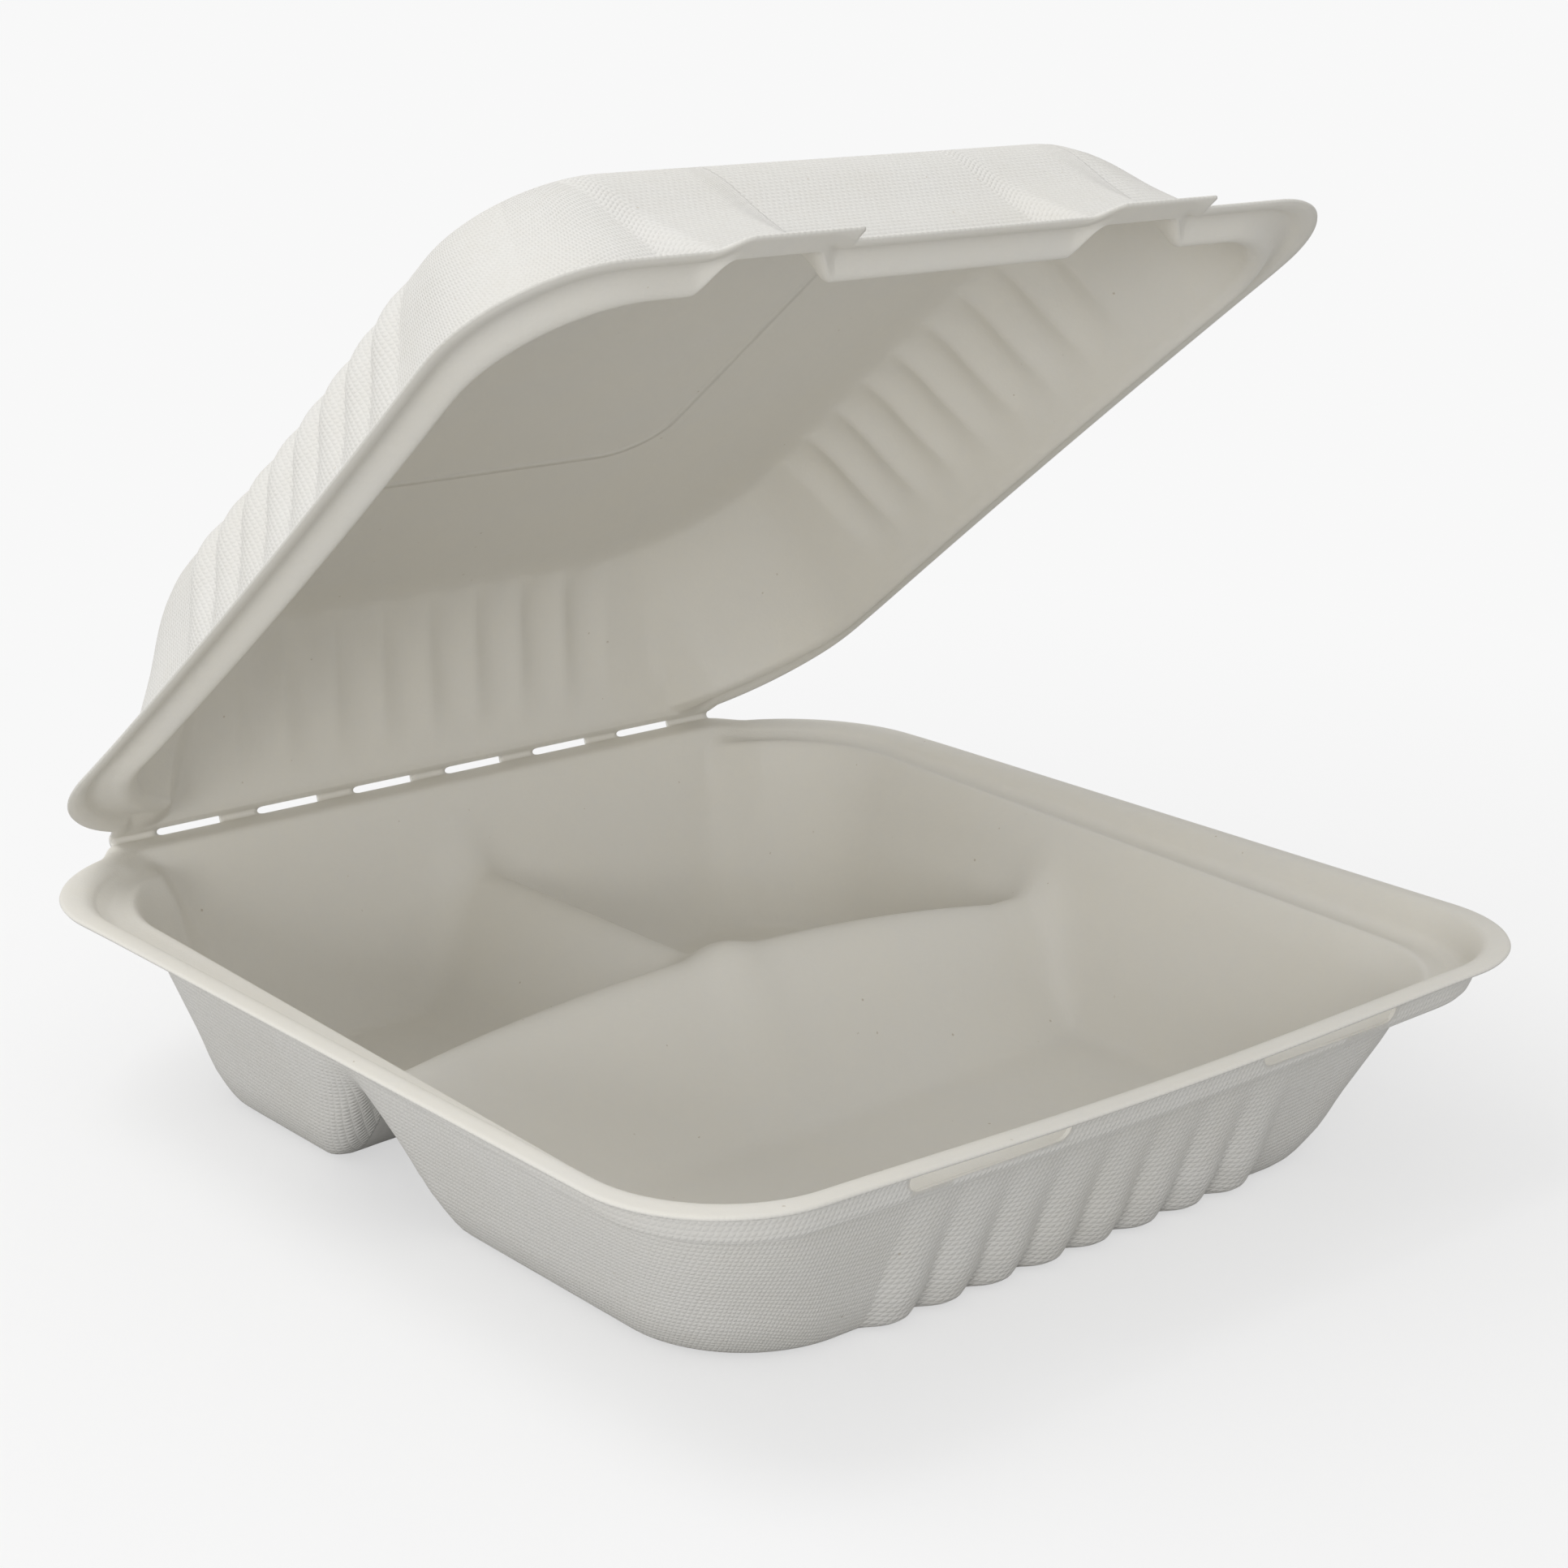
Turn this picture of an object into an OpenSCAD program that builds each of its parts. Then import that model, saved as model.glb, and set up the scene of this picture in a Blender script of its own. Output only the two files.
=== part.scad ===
// Three-compartment clamshell container in moulded plant fibre.
// One pressed sheet makes a tray with a T-shaped divider and a domed lid, which swing on a
// perforated fold and close with two tabs in two slots.
// The origin is on the table under the middle of the tray. X runs along the fold, Y towards it.

/* [Sheet] */
// Thickness of the moulded sheet
sheet_t = 0.8; // [0.6:0.1:1.2]

/* [Tray] */
// Width over the rim
tray_w = 228; // [190:1:276]
// Length from the front edge to the back of the rim
tray_l = 234.8; // [196:0.1:284]
// Height from the table to the top of the rim
tray_h = 46; // [38:0.5:60]
// Corner radius of the rim at the front
rim_front_r = 28; // [24:1:36]
// Corner radius of the rim at the back
rim_back_r = 38; // [32:1:46]
// Corner radius of the walls at the lip
wall_r = 22; // [18:1:30]
// How much larger that radius is at the back
back_swell = 8; // [6:0.5:10]
// Corner radius of the walls at the foot
foot_r = 25; // [20:1:30]
// How far the side walls lean in
side_lean = 16.2; // [12:0.1:20]
// How far the front wall leans in
front_lean = 14.6; // [12:0.1:20]
// How far the back wall leans in below the corners
back_lean = 11; // [8:0.1:16]
// Height of the rounding between wall and foot
foot_rise = 5; // [3:0.5:7]

/* [Rim] */
// Width of the flat flange
flange_w = 4.2; // [3.4:0.1:5.2]
// Width of the step down from the flange to the gutter
step_w = 2.5; // [2:0.1:3.2]
// Width of the gutter up to the lip
gutter_w = 6.5; // [5.2:0.1:8]
// Depth of the gutter below the lip
gutter_d = 0.9; // [0.6:0.1:1.6]
// Depth of the lip below the rim at the front
lip_front = 8.3; // [7:0.1:10]
// Depth of the lip below the rim at the back
lip_back = 1.2; // [1:0.1:2]
// Width of the rounding between the lip and the wall
lip_w = 1.6; // [1.2:0.1:2.4]
// Height of the rounding between the lip and the wall
lip_h = 2; // [1.5:0.1:3]
// Sag in the middle of the front rim
rim_sag = 2; // [0:0.1:2.5]
// Distance from the front edge over which that sag fades out at the sides
sag_run = 60; // [40:1:80]

/* [Divider] */
// Distance of the cross divider from the front edge
bridge_y = 130; // [108:0.5:148]
// Depth of the cross divider below the rim at its middle
bridge_mid = 13.5; // [11:0.5:18]
// Depth of the cross divider below the rim at its ends
bridge_end = 20.5; // [17:0.5:25]
// Share of the half width over which it falls to that depth
bridge_fall = 0.7; // [0.6:0.05:0.9]
// Depth of the front-to-back divider below the rim
spine_drop = 18.5; // [15:0.5:24]
// Steepness of the flanks, as rise over run
flank = 2.2; // [1.8:0.1:2.6]
// Half width of the rounded crest
crest = 6; // [4:0.5:8]
// Height over which the divider, walls and floor run into each other
blend = 12; // [8:0.5:14]

/* [Flutes] */
// Most flutes in a row
flute_n = 8; // [4:1:10]
// Distance between two cusps
flute_pitch = 13; // [11:0.1:16]
// Distance between two cusps at the sides of the lid
flute_side_pitch = 12.6; // [11:0.1:16]
// Height of a flute at the foot of its wall
flute_d = 2.7; // [1.5:0.1:3.2]
// Shift of the flutes at the sides of the lid towards its front
side_shift = 6; // [0:0.5:8]

/* [Fold] */
// Distance from the back of the rim to the fold
fold_out = 4.8; // [4:0.1:6]
// Distance from the back of the rim to the wall under the fold
hinge_in = 5.9; // [5:0.1:7]
// Depth of the bend from the fold into that wall
hinge_h = 6; // [5:0.1:7]
// Distance from the side of the tray to each end of the fold
neck_in = 30; // [28:0.5:36]
// Number of perforations
perf_n = 6; // [4:1:8]
// Length of the fold that is left whole at its ends
perf_end = 14.4; // [10:0.1:20]
// Length of the strip between two perforations
perf_web = 9.4; // [7:0.1:12]
// Width of a perforation
perf_w = 2; // [1.6:0.1:2.6]
// Offset of the perforations from the middle of the fold
perf_x = -0.6; // [-2:0.1:2]
// Gap between each half and the fold line
fold_gap = 0.15; // [0.1:0.05:0.3]
// Width of the notch at each neck of the lid
notch_w = 2.4; // [1.6:0.1:3]
// Depth of the notch at each neck of the lid
notch_h = 4; // [3:0.1:5]
// Height between each half and the fold line
fold_lift = 0.4; // [0.3:0.05:0.5]
// Distance from the fold at which the two halves start to close on each other
lift_from = 15; // [10:1:20]
// Distance over which they close
lift_run = 45; // [30:1:60]

/* [Lid] */
// Clearance between the edge of the lid and the edge of the tray
lid_gap = 7.3; // [7:0.1:8]
// Height of the dome
lid_h = 35; // [29:0.5:44]
// Corner radius of the lid at the front
lid_front_r = 26; // [22:1:32]
// Corner radius of the lid at the back
lid_back_r = 41; // [36:1:46]
// How far the walls of the dome lean in
dome_lean = 15.2; // [12:0.1:18]
// Depth of the rib that drops inside the lip
rib_d = 2.2; // [1.6:0.1:3]
// Height of the groove in the flange
groove_d = 1.2; // [0.8:0.1:1.6]
// How far the sides bow in at their middle
lid_bow = 1.9; // [0:0.1:2.4]
// Straight length at both ends of a side, next to its corners
bow_end = 30; // [24:1:40]

/* [Lock] */
// Middles of the left and right tab along the front edge
tab_x = [-45.3, 44.7];
// Length of a tab
tab_l = 35.6; // [28:0.1:40]
// How far a tab stands out from the lid
tab_out = 3.7; // [3:0.1:4.2]
// Length of the sweep that starts each tab
tab_sweep = 5; // [3:0.1:8]
// Room at each end of a tab in its slot
slot_room = 1.6; // [1.2:0.1:2.4]
// Height of a slot
slot_h = 5.2; // [4.4:0.1:6]
// How far a slot lies to the right of its tab
slot_shift = 2; // [0:0.1:3]

/* [Pose] */
// Angle between the rim of the tray and the open lid
lid_open = 38.4; // [-1.9:0.1:180]

/* [Hidden] */
fibre_colour = [0.86, 0.85, 0.82];
corner_q = [15, 30];
station_gap = 2.5;
corner_n = len(corner_q) + 1;
cusp_n = 3;
cut_n = 16;
cut_t = 6;

front_y = -(tray_l + fold_out) / 2;
fold_y = front_y + tray_l + fold_out;
back_y = fold_y - fold_out;
cross_y = front_y + bridge_y;
floor_z = sheet_t - tray_h;
foot_z = foot_rise - tray_h;

// Insets of the rim, from the edge to the top of the wall
gutter_in = flange_w + step_w;
lip_in = gutter_in + gutter_w;
wall_in = lip_in + lip_w;
lid_w = tray_w - 2 * lid_gap;
lid_l = tray_l + fold_out - lid_gap;
neck_w = tray_w - 2 * neck_in;
perf_pitch = (neck_w - perf_end) / perf_n;
perf_l = perf_pitch - perf_web;

// Shares of the lean at the wall's inner stations, at its foot, on the rounding and on the floor
wall_share = [0.28, 0.57, 0.85, 1, 1.2];

function mix(a, b, t) = a + (b - a) * t;
function clamp(t) = max(0, min(1, t));
function ease(t) = let (c = clamp(t)) c * c * (3 - 2 * c);
function turned(list) = [for (i = [len(list) - 1:-1:0]) list[i]];
function smooth_max(a, b) = max(a, b) + pow(max(blend - abs(a - b), 0), 2) / (4 * blend);

// Share of the parting between tray and lid, which fades away from the fold
function parting(d) = 1 - ease((d - lift_from) / lift_run);

// A station is [place along the side, share of the side's second profile, share of a flute]
function plain(places) = [for (p = places) [p, 0, 0]];
function mirrored(stations) = [for (s = turned(stations)) [-s[0], s[1], s[2]]];

// Flutes in a row, middled on c, as many of them as find room: cusps with arches between
function flutes(room, pitch, c) = let (n = min(flute_n, floor(2 * (room - 4 * station_gap) / pitch)))
    [for (i = [0:n * cusp_n]) [c + (i / cusp_n - n / 2) * pitch, 0, abs(sin(180 * i / cusp_n))]];

// Distance from the middle of a wall to the middle of its corner
function corner_room(half, r) = half - r * (1 - cos(45));

// One side of a ring, from the middle of one corner to the middle of the next. It runs from u0
// to u1 along t, at distance v out along its normal d, with radius ra at its start and rb at
// its end, and corner stations at the angles q. The fold takes the second profile up to the
// first of them. Each entry is [point, normal, second profile, flute, distance short of v].
function side(t, d, u0, u1, v, ra, rb, mid, q, fold) = let (
        a = u0 + ra,
        b = u1 - rb,
        m0 = mid[0][0],
        m1 = mid[len(mid) - 1][0],
        a1 = min(a, m0 - station_gap),
        b1 = max(b, m1 + station_gap),
        f = fold ? 1 : 0)
    [for (p = concat(
        [[a - ra * sin(45), 0, 0],
            [min(a - ra * sin(q[1]), a1 - 2 * station_gap), 0, 0],
            [min(a - ra * sin(q[0]), a1 - station_gap), f, 0]],
        [for (u = [a1, mix(a1, m0, 0.5)]) [u, f, 0]],
        [for (s = mid) [s[0], max(f, s[1]), s[2]]],
        [for (u = [mix(b1, m1, 0.5), b1]) [u, f, 0]],
        [[max(b + rb * sin(q[0]), b1 + station_gap), f, 0],
            [max(b + rb * sin(q[1]), b1 + 2 * station_gap), 0, 0]]))
        let (short = p[0] < a ? ra - sqrt(ra * ra - pow(a - p[0], 2))
            : p[0] > b ? rb - sqrt(rb * rb - pow(p[0] - b, 2)) : 0)
            [t * p[0] + d * (v - short), d, p[1], p[2], short]];

// Closed ring, anticlockwise from the middle of the front left corner. The insets are
// [side, front, back], the radii [front, back], and the stations [front, right, back].
function ring(w, y0, y1, in, r, stations, q) = let (h = w / 2 - in[0]) concat(
    side([1, 0], [0, -1], -h, h, -y0 - in[1], r[0], r[0], stations[0], corner_q, false),
    side([0, 1], [1, 0], y0 + in[1], y1 - in[2], h, r[0], r[1], stations[1], corner_q, false),
    side([-1, 0], [0, 1], -h, h, y1 - in[2], r[1], r[1], mirrored(stations[2]), q, true),
    side([0, -1], [-1, 0], in[2] - y1, -y0 - in[1], h, r[1], r[0], mirrored(stations[1]), corner_q, false));

// Angle round a back corner at which the fold ends
function neck_angle(w, r) = asin((neck_w - w) / 2 / r + 1);

// Unit normals of a grid of closed rings
function unit(v) = v / norm(v);
function normals(grid) = let (k1 = len(grid) - 1, n = len(grid[0]))
    [for (k = [0:k1]) [for (j = [0:n - 1])
        unit(cross(grid[k][(j + 1) % n] - grid[k][(j + n - 1) % n],
            grid[min(k + 1, k1)][j] - grid[max(k - 1, 0)][j]))]];

// Triangles of a grid of closed rings, seen from above
function band(rings, n) = [for (k = [0:rings - 2], j = [0:n - 1])
    let (a = k * n + j, b = k * n + (j + 1) % n)
        each [[a, a + n, b + n], [a, b + n, b]]];

// Moulded sheet: the surface moved by a and by b along its normals, closed round its edge
module sheet(points, normal, faces, edge_n, a, b) {
    m = len(points);
    polyhedron(
        points = concat(points + b * normal, points + a * normal),
        faces = concat(
            faces,
            [for (f = faces) [for (i = turned(f)) i + m]],
            [for (j = [0:edge_n - 1]) let (k = (j + 1) % edge_n)
                each [[j, k, m + k], [j, m + k, m + j]]]));
}

// Depth of the lip, which falls towards the front so that the lid lies in it
function lip(y) = mix(lip_back, lip_front, clamp((back_y - y) / tray_l));

// Profiles of the tray as [inset, height], one for the rim and one for the fold
function rim_profile(y) = let (h = lip(y)) [
    [0, -0.25],
    [1.6, 0],
    [flange_w, -0.1],
    [flange_w + 0.64 * step_w, -0.45 * h],
    [gutter_in, -0.95 * h],
    [gutter_in + 0.3 * gutter_w, -h - gutter_d],
    [gutter_in + 0.66 * gutter_w, -h - 0.67 * gutter_d],
    [lip_in, -h],
    [wall_in, -h - lip_h]];
fold_profile = [
    [fold_gap - fold_out, 0],
    [-0.5 * fold_out, 0],
    [0, 0],
    [0.34 * hinge_in, -0.02 * hinge_h],
    [0.54 * hinge_in, -0.1 * hinge_h],
    [0.68 * hinge_in, -0.3 * hinge_h],
    [0.78 * hinge_in, -0.5 * hinge_h],
    [0.88 * hinge_in, -0.75 * hinge_h],
    [hinge_in, -hinge_h]];
rim_n = len(fold_profile);
tray_rings = rim_n + len(wall_share);

// Height of a wall that starts at height z, at a share of its lean
function wall_z(z, s) = s > 1 ? floor_z : s == 1 ? mix(foot_z, floor_z, 0.8)
    : mix(z, foot_z, s / wall_share[2]);

// The two dividers, each a crest with hyperbolic flanks
function crest_drop(d) = flank * (sqrt(d * d + crest * crest) - crest);
function bridge(x, y) = let (s = min(1, 2 * abs(x) / (bridge_fall * tray_w)))
    -mix(bridge_mid, bridge_end, s * s) - crest_drop(y - cross_y);
function spine(x, y) = -spine_drop - crest_drop(norm([x, min(0, y - cross_y)]));
function divided(x, y, z) = smooth_max(z, smooth_max(bridge(x, y), spine(x, y)));

// Stations of the tray: flutes at the front, and the flanks of the cross divider at the sides
front_flutes = flutes(corner_room(tray_w / 2 - wall_in - side_lean, foot_r), flute_pitch, 0);
divider_side = plain([for (d = [-20, -14, -9, -4, 0, 4, 9, 14, 20]) cross_y + d]);
tray_stations = [front_flutes, divider_side, plain([for (s = front_flutes) s[0]])];

tray_neck = neck_angle(tray_w, rim_back_r);
function tray_ring(k) = let (
        s = k < rim_n ? 0 : wall_share[k - rim_n],
        in = k < rim_n ? rim_profile(0)[k][0] : wall_in,
        rim_share = clamp(in / wall_in),
        insets = [in + s * side_lean, in + s * front_lean, in + s * back_lean],
        foot = clamp(s),
        radii = [for (r = [[rim_front_r, 0], [rim_back_r, back_swell]])
            mix(mix(r[0], wall_r + r[1], rim_share), foot_r, foot)],
        shift = k < rim_n ? in - fold_profile[k][0] : (wall_in - hinge_in) * (1 - foot),
        fluted = s > 1 ? 0 : flute_d * ease(s / 0.9),
        q = [mix(tray_neck, corner_q[0], foot), mix(tray_neck + 15, corner_q[1], foot)])
    [for (p = ring(tray_w, front_y, back_y, insets, radii, tray_stations, q))
        let (
            xy = p[0] + p[1] * ((shift + p[4]) * p[2] + fluted * p[3]),
            y = p[0].y,
            rim = k < rim_n ? rim_profile(y)[k][1] : wall_z(rim_profile(y)[rim_n - 1][1], s),
            fold = k < rim_n ? fold_profile[k][1] : wall_z(-hinge_h, s),
            sag = rim_sag * (1 - foot) * ease(1 - (y - front_y) / sag_run) * pow(cos(180 * xy.x / tray_w), 2),
            part = fold_lift * (1 - foot) * parting(fold_y - xy.y),
            z = mix(rim, fold, p[2]) - sag - part)
        [xy.x, xy.y, k < rim_n ? z : divided(xy.x, xy.y, z)]];

tray_grid = [for (k = [0:tray_rings - 1]) tray_ring(k)];
tray_edge = len(tray_grid[0]);
floor_ring = tray_grid[tray_rings - 1];
floor_nx = 2 * corner_n + len(front_flutes) + 3;
floor_ny = 2 * corner_n + len(divider_side) + 3;

// Inner points of the floor, laid out between the four sides of the last ring
function floor_xy(i, j) = let (
        a = floor_ring[i],
        b = floor_ring[2 * floor_nx + floor_ny - i],
        c = floor_ring[(2 * floor_nx + 2 * floor_ny - j) % tray_edge],
        d = floor_ring[floor_nx + j],
        o = floor_ring[0],
        e = floor_ring[floor_nx],
        g = floor_ring[2 * floor_nx + floor_ny])
    [mix(c.x, d.x, (a.x - o.x) / (e.x - o.x)), mix(a.y, b.y, (c.y - o.y) / (g.y - o.y))];
function floor_at(x, y) = [x, y, divided(x, y, floor_z)];
function floor_normal(p) = unit(cross(
    floor_at(p.x + 0.5, p.y) - floor_at(p.x - 0.5, p.y),
    floor_at(p.x, p.y + 0.5) - floor_at(p.x, p.y - 0.5)));
floor_points = [for (j = [1:floor_ny - 1], i = [1:floor_nx - 1])
    let (p = floor_xy(i, j)) floor_at(p.x, p.y)];

// Index of a floor point, which is on the last ring or inside it
function floor_index(i, j) = let (b = (tray_rings - 1) * tray_edge)
    j == 0 ? b + i
    : i == floor_nx ? b + floor_nx + j
    : j == floor_ny ? b + 2 * floor_nx + floor_ny - i
    : i == 0 ? b + 2 * floor_nx + 2 * floor_ny - j
    : b + tray_edge + (j - 1) * (floor_nx - 1) + i - 1;
floor_faces = [for (i = [0:floor_nx - 1], j = [0:floor_ny - 1])
    let (
        a = floor_index(i, j),
        b = floor_index(i, j + 1),
        c = floor_index(i + 1, j + 1),
        d = floor_index(i + 1, j))
        each [[a, b, c], [a, c, d]]];

// Profiles of the lid as [inset, height]: for the rim, for the fold and behind the tabs
lid_rim = [
    [0, 0],
    [2.6, 0],
    [4.2, groove_d],
    [6.5, 0.25 * groove_d],
    [8.8, -0.9 * rib_d],
    [9.8, -rib_d],
    [11.2, -0.45 * rib_d],
    [11.8, 1.5]];
lid_fold = [
    [fold_gap, 0],
    [1.2, 0],
    [2.4, 0.1],
    [3.2, 0.3],
    [3.8, 0.7],
    [4.4, 1.2],
    [5, 1.9],
    [5.6, 2.8]];
lid_tab = [
    [-tab_out, 0],
    [-0.4 * tab_out, 0],
    [0.8, 0],
    [2.2, 0],
    [3, 0.2],
    [3.8, 0.7],
    [4.6, 1.4],
    [5.4, 2.4]];
dome_share = [0.5, 0.93, 1.1, 1.3];
dome_rise = [0.5, 0.9, 0.975, 1];
lid_rim_n = len(lid_rim);
lid_rings = lid_rim_n + len(dome_share);
dome_in = lid_rim[lid_rim_n - 1][0];

// A tab swells out along a sweep at its left end and is cut square at its right end
function tab_row(c) = let (a = c - tab_l / 2, b = c + tab_l / 2) concat(
    [for (i = [0:3]) [a + tab_sweep * i / 3, ease(i / 3), 0]],
    [[c, 1, 0], [b - 4, 1, 0], [b - 3.7, 0.15, 0], [b, 0, 0]]);
dome_half = lid_w / 2 - dome_in - 1.3 * dome_lean;
dome_room = corner_room(dome_half, lid_back_r);
lid_neck = neck_angle(lid_w, lid_back_r);
tabs = concat(tab_row(tab_x[0]), plain([0]), tab_row(tab_x[1]));
side_flutes = flutes(dome_room, flute_side_pitch, -lid_l / 2 - side_shift);
back_flutes = flutes(dome_room, flute_pitch, 0);

// Where the dome is too narrow for the stations of the tabs, they draw together by this share
tab_reach = max(tab_x[1], -tab_x[0]) + tab_l / 2;
tab_fit = min(1, (corner_room(dome_half, lid_front_r) - 2 * station_gap) / tab_reach);

// The lid lies closed here, with its fold on the X axis and its front edge at -lid_l
function lid_ring(k) = let (
        rim = k < lid_rim_n,
        s = rim ? 0 : dome_share[k - lid_rim_n],
        rise = rim ? 0 : dome_rise[k - lid_rim_n],
        in = rim ? lid_rim[k][0] : dome_in + s * dome_lean,
        foot = clamp(s),
        bow_half = lid_l / 2 - in - bow_end,
        radii = [mix(lid_front_r, lid_front_r - 2, foot), mix(lid_back_r, lid_back_r - 2, foot)],
        fluted = flute_d * ease(rise) * (s > 1.2 ? 0 : s > 1 ? 0.5 : 1),
        q = [mix(lid_neck, corner_q[0], foot), mix(lid_neck + 8, corner_q[1], foot)],
        front = [for (s = tabs) [s[0] * mix(1, tab_fit, foot), s[1], s[2]]],
        stations = [front, side_flutes, back_flutes])
    [for (p = ring(lid_w, -lid_l, 0, [in, in, in], radii, stations, q))
        let (
            d = p[1],
            other = d.y < 0 ? lid_tab : lid_fold,
            shift = rim ? in - other[k][0] : (dome_in - other[lid_rim_n - 1][0]) * (1 - foot),
            bow = d.x == 0 ? 0 : lid_bow * max(0, 1 - pow((p[0].y + lid_l / 2) / bow_half, 2)),
            xy = p[0] + d * ((shift + p[4]) * p[2] + fluted * p[3] - bow),
            m = min(k, lid_rim_n - 1),
            part = parting(-xy.y),
            rib = lid_rim[m][1] * (lid_rim[m][1] < 0 ? 1 - part / 2 : 1),
            z = mix(mix(rib, other[m][1], p[2]), lid_h - sheet_t, rise) + fold_lift * (1 - foot) * part)
        [xy.x, xy.y, z]];

lid_grid = [for (k = [0:lid_rings - 1]) lid_ring(k)];
lid_edge = len(lid_grid[0]);
lid_top = [0, -lid_l / 2, lid_h - sheet_t];
lid_faces = let (b = (lid_rings - 1) * lid_edge) concat(
    band(lid_rings, lid_edge),
    [for (j = [0:lid_edge - 1]) [b + j, b + lid_edge, b + (j + 1) % lid_edge]]);

// A perforation or a slot: a straight cut with round ends, w wide and l long
module stadium(l, w, depth) {
    hull()
        for (x = [w / 2 - l / 2, l / 2 - w / 2])
            translate([x, 0, 0])
                cylinder(h = depth, d = w, center = true, $fn = cut_n);
}

module perforations() {
    for (i = [0:perf_n - 1])
        translate([perf_x + (i - (perf_n - 1) / 2) * perf_pitch, 0, 0])
            stadium(perf_l, perf_w, cut_t);
}

// Round notches that set the lid free of the fold at both necks, a quarter of each in the fold
module neck_notches() {
    for (x = [-1, 1] * (neck_w + notch_w / 2) / 2)
        translate([x, 1 - notch_h / 2, 0])
            rotate([0, 0, 90])
                stadium(notch_h + 2, notch_w, cut_t);
}

// Slots for the tabs, cut through the step under the front flange from the top of its sheet
module lock_slots() {
    depth = step_w + 2 * sheet_t;
    top = 2 * sheet_t + rim_sag / 2;
    for (x = tab_x)
        translate([x + slot_shift, front_y + flange_w + step_w / 2 + sheet_t / 2, -top - slot_h / 2])
            rotate([90, 0, 0])
                stadium(tab_l + 2 * slot_room, slot_h, depth);
}

module tray() {
    color(fibre_colour)
        translate([0, 0, tray_h])
            difference() {
                sheet(
                    concat([for (row = tray_grid) each row], floor_points),
                    concat(
                        [for (row = normals(tray_grid)) each row],
                        [for (p = floor_points) floor_normal(p)]),
                    concat(band(tray_rings, tray_edge), floor_faces),
                    tray_edge, -sheet_t, 0);
                translate([0, fold_y, 0])
                    perforations();
                lock_slots();
            }
}

module lid() {
    color(fibre_colour)
        translate([0, fold_y, tray_h])
            rotate([-lid_open, 0, 0])
                difference() {
                    sheet(
                        concat([for (row = lid_grid) each row], [lid_top]),
                        concat([for (row = normals(lid_grid)) each row], [[0, 0, 1]]),
                        lid_faces, lid_edge, 0, sheet_t);
                    perforations();
                    neck_notches();
                }
}

tray();
lid();
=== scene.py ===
"""Looks of a three-compartment clamshell in moulded plant fibre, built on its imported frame.

The container is one pressed sheet. Its tray and its lid are grids of points: control rings
follow the profiles of the rim, the fold and the walls, smooth curves run through them from the
edge inwards, and the second face of the sheet lies one thickness along the normals. Small webs
join both halves across the fold, between the perforations. Sizes are in millimetres until a
mesh is made.
"""

import logging
import math
from dataclasses import dataclass
from enum import Enum
from typing import Callable

import bpy
import numpy as np
from mathutils import Matrix, Vector


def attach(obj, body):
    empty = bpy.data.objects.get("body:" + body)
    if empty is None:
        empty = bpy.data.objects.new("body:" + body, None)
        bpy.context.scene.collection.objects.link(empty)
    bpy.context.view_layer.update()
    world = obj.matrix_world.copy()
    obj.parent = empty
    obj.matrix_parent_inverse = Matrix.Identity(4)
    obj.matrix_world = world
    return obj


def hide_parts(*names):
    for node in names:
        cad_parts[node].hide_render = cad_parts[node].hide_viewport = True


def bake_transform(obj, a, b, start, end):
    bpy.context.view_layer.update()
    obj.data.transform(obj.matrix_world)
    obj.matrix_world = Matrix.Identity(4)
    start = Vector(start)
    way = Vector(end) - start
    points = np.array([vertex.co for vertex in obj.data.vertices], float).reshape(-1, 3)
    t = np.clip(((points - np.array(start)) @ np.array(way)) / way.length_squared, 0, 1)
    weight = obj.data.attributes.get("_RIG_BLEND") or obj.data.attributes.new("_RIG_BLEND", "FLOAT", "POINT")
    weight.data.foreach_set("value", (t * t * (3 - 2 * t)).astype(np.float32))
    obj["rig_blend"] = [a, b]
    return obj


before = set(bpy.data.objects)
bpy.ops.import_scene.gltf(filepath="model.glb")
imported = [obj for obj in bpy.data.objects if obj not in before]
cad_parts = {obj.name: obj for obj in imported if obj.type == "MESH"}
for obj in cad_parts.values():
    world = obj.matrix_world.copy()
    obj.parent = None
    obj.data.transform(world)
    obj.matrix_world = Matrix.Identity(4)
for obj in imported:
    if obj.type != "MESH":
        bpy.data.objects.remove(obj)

Grid = np.ndarray
Share = Callable[..., np.ndarray]

logging.basicConfig(level=logging.INFO, format="%(message)s")
log = logging.getLogger("clamshell")

MM = 0.001
SHEET = 0.8
EDGE_ROUND = 0.25
WIRE_PITCH = 1.3
ROW_PITCH = 1.15
SHARP_EDGE = 75.0


class Body(str, Enum):
    """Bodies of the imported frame."""

    TRAY = "tray"
    LID = "lid"


class Face(Enum):
    """Which face of the sheet the modelled surface is."""

    UPPER = (-SHEET, 0.0)
    LOWER = (0.0, SHEET)


# Maths on arrays.


def mix(a: Grid | float, b: Grid | float, t: Grid | float) -> Grid | float:
    """Point or number at share t of the way from a to b."""
    return a + (b - a) * t


def ease(t: Grid | float) -> Grid | float:
    """Smooth step from 0 to 1, as 3t^2 - 2t^3."""
    t = np.clip(t, 0.0, 1.0)
    return t * t * (3 - 2 * t)


def smooth_max(a: Grid, b: Grid, width: float) -> Grid:
    """Greater of two heights, rounded where they differ by less than width."""
    return np.maximum(a, b) + np.maximum(width - np.abs(a - b), 0.0) ** 2 / (4 * width)


def unit(v: Grid) -> Grid:
    """Vectors of length 1 along the last axis."""
    return v / np.maximum(np.linalg.norm(v, axis=-1, keepdims=True), 1e-12)


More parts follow.
